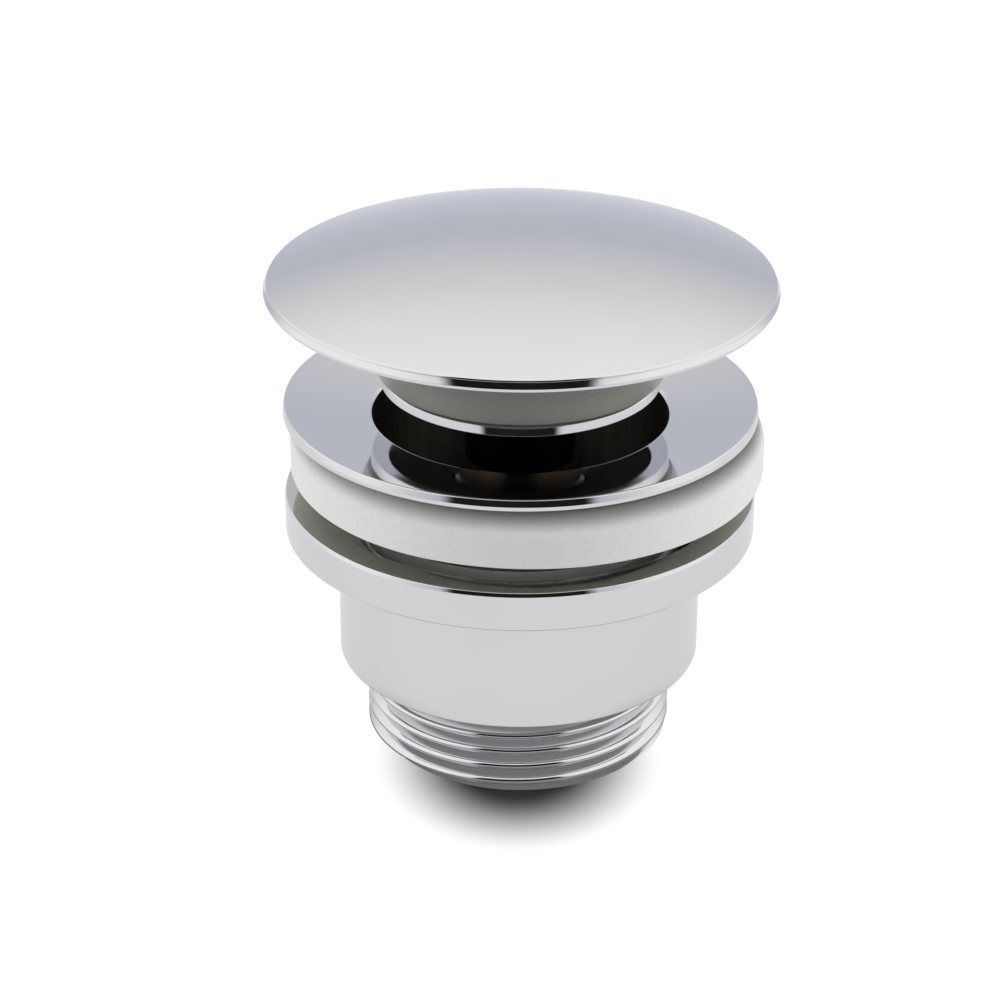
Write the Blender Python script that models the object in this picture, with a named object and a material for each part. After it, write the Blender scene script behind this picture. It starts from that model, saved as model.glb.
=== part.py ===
"""Push-push basin waste with a mushroom cap, modelled as it comes apart on a bench.

Metres, +Z up. The origin is the centre of the tail's end face, on the axis that all turned pieces share.
"""
import math

import bmesh
import bpy
from mathutils import Matrix

MM = 0.001

# Fits and facets
FIT_GAP = 0.3 * MM
EDGE_CHAMFER = 0.4 * MM
MERGE_DISTANCE = 0.001 * MM
SHARP_ANGLE = math.radians(32.0)
LARGE_SEGMENTS = 40
SMALL_SEGMENTS = 24

# Parallel pipe thread G 1 1/4 on the tail
THREAD_RADIUS = 20.955 * MM
THREAD_PITCH = 2.309 * MM
THREAD_DEPTH = 1.479 * MM
THREAD_FLAT_SHARE = 0.18
THREAD_CHAMFER = 1.2 * MM
THREAD_RELIEF = 1.9 * MM
THREAD_RELIEF_DEPTH = 0.1 * MM
THREAD_START_TURN = 0.3

# Lower body
TAIL_LENGTH = 12.4 * MM
TAIL_WALL = 3.55 * MM
SHELL_STEP = 3.8 * MM
SHELL_HEIGHT = 18.4 * MM
SHELL_EDGE_RADIUS = 0.5 * MM
RIM_STEP = 7.1 * MM
RIM_HEIGHT = 5.4 * MM
RIM_EDGE_RADIUS = 0.6 * MM
SEAT_RING_WIDTH = 3.6 * MM
SEAT_STEP = 0.8 * MM
SOCKET_FLOOR = 2.2 * MM
THREAD_SEAL_WIDTH = 1.8 * MM
THREAD_SEAL_HEIGHT = 2.3 * MM

# Upper body and its foam washer
CLAMP_GAP = 3.5 * MM
FOAM_THICKNESS = 7.75 * MM
FOAM_SETBACK = 0.55 * MM
FOAM_BORE_PLAY = 1.3 * MM
FOAM_OFFSET = 0.94 * MM
FLANGE_THICKNESS = 1.55 * MM
FLANGE_EDGE_RADIUS = 0.45 * MM
FLANGE_DISH = 1.8 * MM
COLLAR_STEP = 1.05 * MM
COLLAR_LEDGE = 0.25 * MM
BARREL_WALL = 2.0 * MM
BARREL_CHAMFER = 0.8 * MM
BARREL_END_ROOM = 0.3 * MM

# Cross that carries the cartridge
CROSS_HEIGHT = 6.0 * MM
CROSS_ARM_WIDTH = 2.6 * MM
CROSS_EDGE_BEVEL = 0.7 * MM
HUB_WALL = 2.8 * MM

# Spindle and index mechanism
STROKE = 6.6 * MM
SPINDLE_RADIUS = 4.0 * MM
SHANK_RADIUS = 2.4 * MM
SHANK_TIP = 0.9 * MM
SHOULDER_BELOW_BUSH = 1.1 * MM
STUD_RADIUS = 2.9 * MM
STUD_LENGTH = 5.8 * MM
DRUM_RADIUS = 4.9 * MM
INDEX_REPEATS = 3
LEGS_PER_REPEAT = 4
SECTIONS_PER_LEG = 4
LATCH_DROP = 1.0 * MM
TRACK_DEPTH = 1.2 * MM
TRACK_PLAY = 0.4 * MM
TRACK_END_WALL = 1.3 * MM
PIN_RADIUS = 0.8 * MM
PIN_SUNK = 0.1 * MM
PIN_ANGLE = math.radians(45.0)
CLIP_THICKNESS = 0.6 * MM
CLIP_WIDTH = 1.1 * MM
CLIP_PLAY = 0.1 * MM
CLIP_GROOVE_DEPTH = 0.5 * MM

# Return spring and its cup
SPRING_PRESSED_LENGTH = 5.8 * MM
SPRING_WIRE_RADIUS = 0.45 * MM
SPRING_SIDE_GAP = 0.75 * MM
SPRING_TURNS = 5.5
SPRING_CLOSED_COIL_GAP = 0.1 * MM
SPRING_CUP_THICKNESS = 0.7 * MM

# Cartridge
BUSH_WALL = 1.2 * MM
SLEEVE_WALL = 1.3 * MM
SLEEVE_PRESSED_ROOM = 2.1 * MM
BUSH_ROOM = 6.3 * MM
LEDGE_WIDTH = 2.5 * MM
LEDGE_HEIGHT = 1.6 * MM
LOCK_NUT_WALL = 1.6 * MM
LOCK_NUT_HEIGHT = 3.2 * MM
LOCK_WASHER_WIDTH = 2.4 * MM
LOCK_WASHER_THICKNESS = 0.8 * MM
END_PLUG_HEIGHT = 1.6 * MM
END_PLUG_DRAIN_RADIUS = 1.5 * MM

# Cap, conical seal and ring nut
CAP_OVERHANG = 2.15 * MM
CAP_RISE = 7.0 * MM
CAP_THICKNESS = 1.6 * MM
CAP_ABOVE_MOUTH = 18.3 * MM
PLUG_ABOVE_MOUTH = 4.4 * MM
BOSS_RADIUS = 8.0 * MM
BOSS_SHOULDER_STEP = 2.0 * MM
BOSS_HOLE_END_ROOM = 0.5 * MM
BELL_LENGTH = 10.9 * MM
BELL_WALL = 0.7 * MM
RING_NUT_SIDE_GAP = 1.55 * MM
RING_NUT_FLARE = 0.5 * MM
RING_NUT_HEIGHT = 1.5 * MM
RING_NUT_EDGE = 0.25 * MM
SEAL_SIDE_GAP = 0.55 * MM
SEAL_FLARE = 3.7 * MM
SEAL_BOW = 0.55 * MM
SEAL_WALL = 1.5 * MM

# Radii that follow from the sizes above
THREAD_ROOT_RADIUS = THREAD_RADIUS - THREAD_DEPTH
TAIL_BORE_RADIUS = THREAD_RADIUS - TAIL_WALL
SHELL_RADIUS = THREAD_RADIUS + SHELL_STEP
RIM_RADIUS = SHELL_RADIUS + RIM_STEP
COLLAR_RADIUS = THREAD_RADIUS + COLLAR_STEP
BARREL_RADIUS = COLLAR_RADIUS - COLLAR_LEDGE
SOCKET_RADIUS = BARREL_RADIUS + FIT_GAP
MOUTH_RADIUS = BARREL_RADIUS - BARREL_WALL
FLANGE_RADIUS = RIM_RADIUS
FOAM_RADIUS = RIM_RADIUS - FOAM_SETBACK
FOAM_BORE_RADIUS = COLLAR_RADIUS + FOAM_BORE_PLAY
CAP_RADIUS = FLANGE_RADIUS + CAP_OVERHANG
RING_NUT_RADIUS = MOUTH_RADIUS - RING_NUT_SIDE_GAP
SEAL_BASE_RADIUS = MOUTH_RADIUS - SEAL_SIDE_GAP
SEAL_LIP_RADIUS = SEAL_BASE_RADIUS + SEAL_FLARE
BOSS_BORE_RADIUS = BOSS_RADIUS + FIT_GAP
SLEEVE_BORE_RADIUS = DRUM_RADIUS + FIT_GAP
SLEEVE_RADIUS = SLEEVE_BORE_RADIUS + SLEEVE_WALL
LEDGE_RADIUS = SLEEVE_RADIUS + LEDGE_WIDTH
BELL_BORE_RADIUS = SLEEVE_RADIUS + FIT_GAP
BELL_RADIUS = BELL_BORE_RADIUS + BELL_WALL
BUSH_INNER_RADIUS = SPINDLE_RADIUS + FIT_GAP
BUSH_OUTER_RADIUS = BUSH_INNER_RADIUS + BUSH_WALL
BUSH_SEAT_RADIUS = BUSH_OUTER_RADIUS + FIT_GAP
SPINDLE_SEAL_WIRE_RADIUS = 0.5 * BUSH_WALL
HUB_BORE_RADIUS = SLEEVE_RADIUS + FIT_GAP
HUB_RADIUS = HUB_BORE_RADIUS + HUB_WALL
LOCK_NUT_FLAT_RADIUS = HUB_BORE_RADIUS + LOCK_NUT_WALL
DRUM_BORE_RADIUS = SHANK_RADIUS + FIT_GAP
SPRING_RADIUS = SLEEVE_BORE_RADIUS - SPRING_SIDE_GAP - SPRING_WIRE_RADIUS
TRACK_HALF_WIDTH = PIN_RADIUS + TRACK_PLAY
LEG_ANGLE = math.tau / (INDEX_REPEATS * LEGS_PER_REPEAT)

# Heights of the lower body, the washer and the upper body
SHELL_TOP = TAIL_LENGTH + SHELL_HEIGHT
RIM_TOP = SHELL_TOP + RIM_HEIGHT
SEAT_FLOOR = RIM_TOP - SEAT_STEP
SOCKET_BOTTOM = TAIL_LENGTH + SOCKET_FLOOR
THREAD_SEAL_TOP = SEAT_FLOOR - FIT_GAP
THREAD_SEAL_BOTTOM = THREAD_SEAL_TOP - THREAD_SEAL_HEIGHT
FOAM_BOTTOM = RIM_TOP + CLAMP_GAP
CLAMP_TRAVEL = CLAMP_GAP - FIT_GAP
FLANGE_BOTTOM = FOAM_BOTTOM + FOAM_THICKNESS + FIT_GAP
FLANGE_TOP = FLANGE_BOTTOM + FLANGE_THICKNESS
MOUTH_TOP = FLANGE_TOP - FLANGE_DISH
FLANGE_SLOPE = FLANGE_DISH / (FLANGE_RADIUS - MOUTH_RADIUS)
COLLAR_BOTTOM = FOAM_BOTTOM + FIT_GAP
BARREL_BOTTOM = SOCKET_BOTTOM + CLAMP_TRAVEL + FIT_GAP + BARREL_END_ROOM

# Heights of the cap and its plug, open
PLUG_BOTTOM = MOUTH_TOP + PLUG_ABOVE_MOUTH
RING_NUT_TOP = PLUG_BOTTOM + RING_NUT_HEIGHT
SEAL_BOTTOM = RING_NUT_TOP + FIT_GAP
BOSS_SHOULDER = SEAL_BOTTOM + SEAL_WALL + FIT_GAP
RIM_CENTRE = MOUTH_TOP + CAP_ABOVE_MOUTH
RIM_ROUND = 0.5 * CAP_THICKNESS
CAP_APEX = RIM_CENTRE + CAP_RISE
DOME_EDGE = CAP_RADIUS - RIM_ROUND
DOME_DROP = CAP_RISE - RIM_ROUND
DOME_RADIUS = (DOME_EDGE ** 2 + DOME_DROP ** 2) / (2.0 * DOME_DROP)

# Heights of the cartridge, from the sleeve's top down to its end plug
BELL_BOTTOM = PLUG_BOTTOM - BELL_LENGTH
SLEEVE_TOP = PLUG_BOTTOM - STROKE - SLEEVE_PRESSED_ROOM
BUSH_FLOOR = SLEEVE_TOP - BUSH_ROOM
SPINDLE_SEAL_CENTRE = BUSH_FLOOR + FIT_GAP + SPINDLE_SEAL_WIRE_RADIUS
BUSH_BOTTOM = SPINDLE_SEAL_CENTRE + SPINDLE_SEAL_WIRE_RADIUS + FIT_GAP
BUSH_TOP = SLEEVE_TOP - FIT_GAP
LEDGE_TOP = BELL_BOTTOM - STROKE - FIT_GAP
LEDGE_BOTTOM = LEDGE_TOP - LEDGE_HEIGHT
HUB_TOP = LEDGE_BOTTOM - FIT_GAP
HUB_BOTTOM = HUB_TOP - CROSS_HEIGHT
LOCK_WASHER_BOTTOM = HUB_BOTTOM - FIT_GAP - LOCK_WASHER_THICKNESS
LOCK_NUT_BOTTOM = LOCK_WASHER_BOTTOM - FIT_GAP - LOCK_NUT_HEIGHT
SPINDLE_TOP = PLUG_BOTTOM - FIT_GAP
STUD_TOP = SPINDLE_TOP + STUD_LENGTH
SHOULDER = BUSH_FLOOR - SHOULDER_BELOW_BUSH
DRUM_TOP = SHOULDER - FIT_GAP
DRUM_BOTTOM = DRUM_TOP - STROKE - 2.0 * (TRACK_HALF_WIDTH + TRACK_END_WALL)
TRACK_START = DRUM_BOTTOM + TRACK_END_WALL + TRACK_HALF_WIDTH
SPRING_CUP_BOTTOM = DRUM_BOTTOM - FIT_GAP - SPRING_CUP_THICKNESS
CLIP_BOTTOM = SPRING_CUP_BOTTOM - FIT_GAP - CLIP_THICKNESS
SHANK_END = CLIP_BOTTOM - SHANK_TIP
SPRING_TOP = SPRING_CUP_BOTTOM - FIT_GAP
SPRING_BOTTOM = SPRING_TOP - STROKE - SPRING_PRESSED_LENGTH
END_PLUG_TOP = SPRING_BOTTOM - FIT_GAP
END_PLUG_BOTTOM = END_PLUG_TOP - END_PLUG_HEIGHT
SLEEVE_BOTTOM = END_PLUG_BOTTOM - FIT_GAP


def clear_scene():
    for item in list(bpy.data.objects):
        bpy.data.objects.remove(item, do_unlink=True)


def surface(name, colour, roughness, metallic):
    material = bpy.data.materials.new(name)
    material.use_nodes = True
    shader = material.node_tree.nodes["Principled BSDF"]
    shader.inputs["Base Color"].default_value = (*colour, 1.0)
    shader.inputs["Roughness"].default_value = roughness
    shader.inputs["Metallic"].default_value = metallic
    material.diffuse_color = (*colour, 1.0)
    return material


def chrome(name):
    return surface(name + "_chrome", (0.78, 0.79, 0.81), 0.06, 1.0)


def bare_brass(name):
    return surface(name + "_brass", (0.72, 0.56, 0.30), 0.28, 1.0)


def stainless(name):
    return surface(name + "_steel", (0.60, 0.60, 0.59), 0.25, 1.0)


def rubber(name):
    return surface(name + "_rubber", (0.03, 0.03, 0.03), 0.60, 0.0)


def acetal(name):
    return surface(name + "_acetal", (0.80, 0.80, 0.77), 0.40, 0.0)


def foam(name):
    return surface(name + "_foam", (0.86, 0.86, 0.85), 0.90, 0.0)


def silicone(name):
    return surface(name + "_silicone", (0.42, 0.42, 0.40), 0.35, 0.0)


def as_object(name, build, material):
    bmesh.ops.remove_doubles(build, verts=build.verts, dist=MERGE_DISTANCE)
    bmesh.ops.recalc_face_normals(build, faces=build.faces)
    mesh = bpy.data.meshes.new(name)
    build.to_mesh(mesh)
    build.free()
    mesh.shade_smooth()
    mesh.set_sharp_from_angle(angle=SHARP_ANGLE)
    item = bpy.data.objects.new(name, mesh)
    bpy.context.scene.collection.objects.link(item)
    if material is not None:
        mesh.materials.append(material)
    return item


def turned_mesh(profile, segments):
    """Spin a (radius, height) outline, closed on itself or on the axis, once round the Z axis."""
    build = bmesh.new()
    corners = [build.verts.new((radius, 0.0, height)) for radius, height in profile]
    sides = zip(corners, corners[1:] + corners[:1])
    outline = [build.edges.new((a, b)) for a, b in sides if a.co.x > 0.0 or b.co.x > 0.0]
    bmesh.ops.spin(
        build,
        geom=corners + outline,
        cent=(0.0, 0.0, 0.0),
        axis=(0.0, 0.0, 1.0),
        angle=math.tau,
        steps=segments,
        use_merge=True,
    )
    return build


def turned(name, profile, material, segments=LARGE_SEGMENTS):
    return as_object(name, turned_mesh(profile, segments), material)


def arc(centre_radius, centre_height, radius, start, end, steps):
    """Points of a round corner, from start to end in degrees."""
    points = []
    for step in range(steps + 1):
        angle = math.radians(start + (end - start) * step / steps)
        points.append((centre_radius + radius * math.cos(angle), centre_height + radius * math.sin(angle)))
    return points


def ring(name, inner, outer, bottom, height, material, segments=SMALL_SEGMENTS):
    """A plain turned washer with a small chamfer on its outer edges."""
    chamfer = min(0.15 * min(height, outer - inner), EDGE_CHAMFER)
    profile = [
        (inner, bottom),
        (outer - chamfer, bottom),
        (outer, bottom + chamfer),
        (outer, bottom + height - chamfer),
        (outer - chamfer, bottom + height),
        (inner, bottom + height),
    ]
    return turned(name, profile, material, segments)


def rod_mesh(radius, depth, segments, place):
    build = bmesh.new()
    bmesh.ops.create_cone(
        build, cap_ends=True, segments=segments, radius1=radius, radius2=radius, depth=depth, matrix=place
    )
    return build


def combine(target, tool, operation):
    """Cut or join with a tool that stays in the scene as a wire guide."""
    tool.hide_render = True
    tool.display_type = "WIRE"
    step = target.modifiers.new(operation.lower() + "_" + tool.name, "BOOLEAN")
    step.operation = operation
    step.solver = "EXACT"
    step.object = tool


def pivot(name, height, parent=None):
    """An empty on the common axis, for a group of pieces that move together."""
    item = bpy.data.objects.new(name, None)
    item.empty_display_size = BOSS_RADIUS
    item.location = (0.0, 0.0, height)
    bpy.context.scene.collection.objects.link(item)
    if parent is not None:
        item.parent = parent
        item.location.z = height - parent.matrix_world.translation.z
    bpy.context.view_layer.update()
    return item


def hang(item, parent):
    """Parent a piece that is modelled at its place, and keep it there."""
    item.parent = parent
    item.matrix_parent_inverse = parent.matrix_world.inverted()
    return item


def flange_underside(radius):
    return FLANGE_BOTTOM - FLANGE_SLOPE * (FLANGE_RADIUS - radius)


def dome_top(radius):
    return CAP_APEX - DOME_RADIUS + math.sqrt(DOME_RADIUS ** 2 - radius ** 2)


def dome_underside(radius):
    return dome_top(radius) - CAP_THICKNESS


def sweep_helix(build, corners, step_angle, step_rise, steps):
    """Extrude a face along a helix on the Z axis, into one closed bar."""
    face = build.faces.new([build.verts.new(corner) for corner in corners])
    move = Matrix.Translation((0.0, 0.0, step_rise)) @ Matrix.Rotation(step_angle, 4, "Z")
    grown_faces = []
    for _ in range(steps):
        grown = bmesh.ops.extrude_face_region(build, geom=[face])
        face = next(part for part in grown["geom"] if isinstance(part, bmesh.types.BMFace))
        bmesh.ops.transform(build, matrix=move, verts=face.verts)
        grown_faces.append(face)
    bmesh.ops.delete(build, geom=grown_faces[:-1], context="FACES_ONLY")


def thread_cutter(name):
    """A helical groove of the pipe thread's form, from below the tail's end face up into the relief."""
    over = 0.2
    crest = THREAD_RADIUS + THREAD_DEPTH * over
    half_root = 0.5 * THREAD_FLAT_SHARE * THREAD_PITCH
    half_crest = 0.5 * (1.0 - THREAD_FLAT_SHARE) * THREAD_PITCH
    half_mouth = half_crest + (half_crest - half_root) * over
    bottom = -THREAD_PITCH
    top = TAIL_LENGTH - half_mouth - THREAD_RELIEF_DEPTH
    start = math.tau * round(THREAD_START_TURN * LARGE_SEGMENTS) / LARGE_SEGMENTS
    section = [(THREAD_ROOT_RADIUS, -half_root), (crest, -half_mouth), (crest, half_mouth), (THREAD_ROOT_RADIUS, half_root)]
    corners = [(radius * math.cos(start), radius * math.sin(start), bottom + height) for radius, height in section]
    steps = int((top - bottom) / THREAD_PITCH * LARGE_SEGMENTS)
    build = bmesh.new()
    sweep_helix(build, corners, math.tau / LARGE_SEGMENTS, THREAD_PITCH / LARGE_SEGMENTS, steps)
    return as_object(name, build, None)


def make_lower_body():
    """Threaded tail, plain shell and stepped rim in one turning; the socket's thread is left plain."""
    pocket_radius = SOCKET_RADIUS + THREAD_SEAL_WIDTH + FIT_GAP
    pocket_floor = THREAD_SEAL_BOTTOM - FIT_GAP
    step_radius = RIM_RADIUS - SEAT_RING_WIDTH
    relief_radius = THREAD_ROOT_RADIUS - THREAD_RELIEF_DEPTH
    relief_bottom = TAIL_LENGTH - THREAD_RELIEF
    rim_arc_radius = RIM_RADIUS - RIM_EDGE_RADIUS
    profile = [(TAIL_BORE_RADIUS + EDGE_CHAMFER, 0.0), (THREAD_RADIUS - THREAD_CHAMFER, 0.0)]
    profile += [(THREAD_RADIUS, THREAD_CHAMFER), (THREAD_RADIUS, relief_bottom)]
    profile += [(relief_radius, relief_bottom), (relief_radius, TAIL_LENGTH)]
    profile += arc(SHELL_RADIUS - SHELL_EDGE_RADIUS, TAIL_LENGTH + SHELL_EDGE_RADIUS, SHELL_EDGE_RADIUS, -90, 0, 2)
    profile += [(SHELL_RADIUS, SHELL_TOP)]
    profile += arc(rim_arc_radius, SHELL_TOP + RIM_EDGE_RADIUS, RIM_EDGE_RADIUS, -90, 0, 2)
    profile += arc(rim_arc_radius, RIM_TOP - RIM_EDGE_RADIUS, RIM_EDGE_RADIUS, 0, 90, 2)
    profile += [(step_radius, RIM_TOP), (step_radius, SEAT_FLOOR)]
    profile += [(pocket_radius, SEAT_FLOOR), (pocket_radius, pocket_floor)]
    profile += [(SOCKET_RADIUS, pocket_floor), (SOCKET_RADIUS, SOCKET_BOTTOM)]
    profile += [(TAIL_BORE_RADIUS, SOCKET_BOTTOM), (TAIL_BORE_RADIUS, EDGE_CHAMFER)]
    body = turned("lower_body", profile, chrome("lower_body"))
    combine(body, thread_cutter("tail_thread_groove"), "DIFFERENCE")
    return body


def make_thread_seal():
    return ring(
        "thread_seal",
        SOCKET_RADIUS,
        SOCKET_RADIUS + THREAD_SEAL_WIDTH,
        THREAD_SEAL_BOTTOM,
        THREAD_SEAL_HEIGHT,
        rubber("thread_seal"),
        LARGE_SEGMENTS,
    )


def make_foam_washer(parent):
    """The washer's hole is wider than the collar, so it lies a little off the axis."""
    top_outer = flange_underside(FOAM_RADIUS - FOAM_OFFSET) - FIT_GAP
    top_inner = flange_underside(FOAM_BORE_RADIUS - FOAM_OFFSET) - FIT_GAP
    profile = [
        (FOAM_BORE_RADIUS, FOAM_BOTTOM),
        (FOAM_RADIUS - EDGE_CHAMFER, FOAM_BOTTOM),
        (FOAM_RADIUS, FOAM_BOTTOM + EDGE_CHAMFER),
        (FOAM_RADIUS, top_outer - EDGE_CHAMFER),
        (FOAM_RADIUS - EDGE_CHAMFER, top_outer - FLANGE_SLOPE * EDGE_CHAMFER),
        (FOAM_BORE_RADIUS, top_inner),
    ]
    build = turned_mesh(profile, LARGE_SEGMENTS)
    bmesh.ops.translate(build, vec=(FOAM_OFFSET, 0.0, 0.0), verts=build.verts)
    return hang(as_object("foam_washer", build, foam("foam_washer")), parent)


def cross_bar(name, angle):
    """One straight bar of the cross, right through the hub and into the barrel wall on both sides."""
    reach = 0.5 * (MOUTH_RADIUS + BARREL_RADIUS)
    build = bmesh.new()
    bmesh.ops.create_cube(build, size=1.0)
    bmesh.ops.scale(build, vec=(2.0 * reach, CROSS_ARM_WIDTH, CROSS_HEIGHT), verts=build.verts)
    long_edges = [edge for edge in build.edges if abs(edge.verts[0].co.x - edge.verts[1].co.x) > reach]
    bmesh.ops.bevel(
        build, geom=long_edges, offset=CROSS_EDGE_BEVEL, segments=1, profile=0.5, affect="EDGES", material=-1
    )
    place = Matrix.Translation((0.0, 0.0, HUB_BOTTOM + 0.5 * CROSS_HEIGHT)) @ Matrix.Rotation(angle, 4, "Z")
    bmesh.ops.transform(build, matrix=place, verts=build.verts)
    return as_object(name, build, None)


def upper_body_profile():
    edge = FLANGE_EDGE_RADIUS
    under_edge = FLANGE_RADIUS - edge
    profile = [(MOUTH_RADIUS, BARREL_BOTTOM), (MOUTH_RADIUS, MOUTH_TOP)]
    profile += [(FLANGE_RADIUS - 2.0 * edge, FLANGE_TOP - 2.0 * edge * FLANGE_SLOPE)]
    profile += arc(under_edge, FLANGE_TOP - edge, edge, 70, 0, 2)
    profile += [(FLANGE_RADIUS, FLANGE_BOTTOM + edge), (under_edge, flange_underside(under_edge))]
    profile += [(COLLAR_RADIUS, flange_underside(COLLAR_RADIUS)), (COLLAR_RADIUS, COLLAR_BOTTOM)]
    profile += [(BARREL_RADIUS, COLLAR_BOTTOM), (BARREL_RADIUS, BARREL_BOTTOM + BARREL_CHAMFER)]
    profile += [(BARREL_RADIUS - BARREL_CHAMFER, BARREL_BOTTOM)]
    return profile


def make_upper_body(parent):
    """Dished flange, straight bore and barrel in one casting with the cross; the barrel's thread is left plain."""
    body = turned("upper_body", upper_body_profile(), chrome("upper_body"))
    middle = Matrix.Translation((0.0, 0.0, HUB_BOTTOM + 0.5 * CROSS_HEIGHT))
    hub = as_object("hub_blank", rod_mesh(HUB_RADIUS, CROSS_HEIGHT, SMALL_SEGMENTS, middle), None)
    bore = as_object("hub_bore", rod_mesh(HUB_BORE_RADIUS, 2.0 * CROSS_HEIGHT, SMALL_SEGMENTS, middle), None)
    combine(body, cross_bar("cross_bar_x", 0.0), "UNION")
    combine(body, cross_bar("cross_bar_y", 0.5 * math.pi), "UNION")
    combine(body, hub, "UNION")
    combine(body, bore, "DIFFERENCE")
    return hang(body, parent)


def make_cartridge_body(parent):
    """Sleeve with the ledge that rests on the cross, in one turning, with a side hole for the follower pin."""
    profile = [
        (SLEEVE_BORE_RADIUS, SLEEVE_BOTTOM),
        (SLEEVE_RADIUS - EDGE_CHAMFER, SLEEVE_BOTTOM),
        (SLEEVE_RADIUS, SLEEVE_BOTTOM + EDGE_CHAMFER),
        (SLEEVE_RADIUS, LEDGE_BOTTOM),
        (LEDGE_RADIUS, LEDGE_BOTTOM),
        (LEDGE_RADIUS, LEDGE_TOP - EDGE_CHAMFER),
        (LEDGE_RADIUS - EDGE_CHAMFER, LEDGE_TOP),
        (SLEEVE_RADIUS, LEDGE_TOP),
        (SLEEVE_RADIUS, SLEEVE_TOP),
        (BUSH_SEAT_RADIUS, SLEEVE_TOP),
        (BUSH_SEAT_RADIUS, BUSH_FLOOR),
        (SLEEVE_BORE_RADIUS, BUSH_FLOOR),
    ]
    body = turned("cartridge_body", profile, chrome("cartridge_body"), SMALL_SEGMENTS)
    across = Matrix.Rotation(PIN_ANGLE, 4, "Z") @ Matrix.Translation((SLEEVE_RADIUS, 0.0, TRACK_START))
    lying = across @ Matrix.Rotation(0.5 * math.pi, 4, "Y")
    hole = as_object("pin_hole", rod_mesh(PIN_RADIUS + FIT_GAP, SLEEVE_RADIUS, 12, lying), None)
    combine(body, hole, "DIFFERENCE")
    return hang(body, parent)


def make_follower_pin(parent):
    """Fixed pin whose inner end runs in the drum's track."""
    tip = DRUM_RADIUS - TRACK_DEPTH + FIT_GAP
    length = SLEEVE_RADIUS - PIN_SUNK - tip
    reach = tip + 0.5 * length
    build = rod_mesh(PIN_RADIUS, length, 12, Matrix.Identity(4))
    pin = as_object("follower_pin", build, stainless("follower_pin"))
    pin.location = (reach * math.cos(PIN_ANGLE), reach * math.sin(PIN_ANGLE), TRACK_START)
    pin.rotation_euler = (0.0, 0.5 * math.pi, PIN_ANGLE)
    return hang(pin, parent)


def make_guide_bush(parent):
    height = BUSH_TOP - BUSH_BOTTOM
    bush = ring("guide_bush", BUSH_INNER_RADIUS, BUSH_OUTER_RADIUS, BUSH_BOTTOM, height, acetal("guide_bush"))
    return hang(bush, parent)


def make_spindle_seal(parent):
    """O-ring under the bush, round the spindle."""
    centre = 0.5 * (BUSH_INNER_RADIUS + BUSH_OUTER_RADIUS)
    section = arc(centre, SPINDLE_SEAL_CENTRE, SPINDLE_SEAL_WIRE_RADIUS, 0, 360, 6)[:-1]
    return hang(turned("spindle_seal", section, rubber("spindle_seal"), SMALL_SEGMENTS), parent)


def make_lock_washer(parent):
    outer = HUB_BORE_RADIUS + LOCK_WASHER_WIDTH
    material = stainless("lock_washer")
    washer = ring("lock_washer", HUB_BORE_RADIUS, outer, LOCK_WASHER_BOTTOM, LOCK_WASHER_THICKNESS, material)
    return hang(washer, parent)


def make_lock_nut(parent):
    """Hexagon nut with turned corners, under the cross."""
    corner_radius = LOCK_NUT_FLAT_RADIUS / math.cos(math.pi / 6.0)
    corner_drop = 0.5 * (corner_radius - LOCK_NUT_FLAT_RADIUS)
    top = LOCK_NUT_BOTTOM + LOCK_NUT_HEIGHT
    middle = Matrix.Translation((0.0, 0.0, LOCK_NUT_BOTTOM + 0.5 * LOCK_NUT_HEIGHT))
    nut = as_object("lock_nut", rod_mesh(corner_radius, LOCK_NUT_HEIGHT, 6, middle), bare_brass("lock_nut"))
    turned_corners = [
        (0.0, LOCK_NUT_BOTTOM - corner_drop),
        (LOCK_NUT_FLAT_RADIUS - corner_drop, LOCK_NUT_BOTTOM - corner_drop),
        (corner_radius + corner_drop, LOCK_NUT_BOTTOM + corner_drop),
        (corner_radius + corner_drop, top - corner_drop),
        (LOCK_NUT_FLAT_RADIUS - corner_drop, top + corner_drop),
        (0.0, top + corner_drop),
    ]
    bore = as_object("nut_bore", rod_mesh(HUB_BORE_RADIUS, 2.0 * LOCK_NUT_HEIGHT, SMALL_SEGMENTS, middle), None)
    combine(nut, turned("nut_corner_cone", turned_corners, None, SMALL_SEGMENTS), "INTERSECT")
    combine(nut, bore, "DIFFERENCE")
    return hang(nut, parent)


def make_end_plug(parent):
    """Plug in the sleeve's lower end, with a drain hole, that carries the spring."""
    plug_radius = SLEEVE_BORE_RADIUS - FIT_GAP
    profile = [
        (END_PLUG_DRAIN_RADIUS, END_PLUG_BOTTOM),
        (plug_radius, END_PLUG_BOTTOM),
        (plug_radius, END_PLUG_TOP),
        (END_PLUG_DRAIN_RADIUS, END_PLUG_TOP),
    ]
    return hang(turned("end_plug", profile, bare_brass("end_plug"), SMALL_SEGMENTS), parent)


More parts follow.
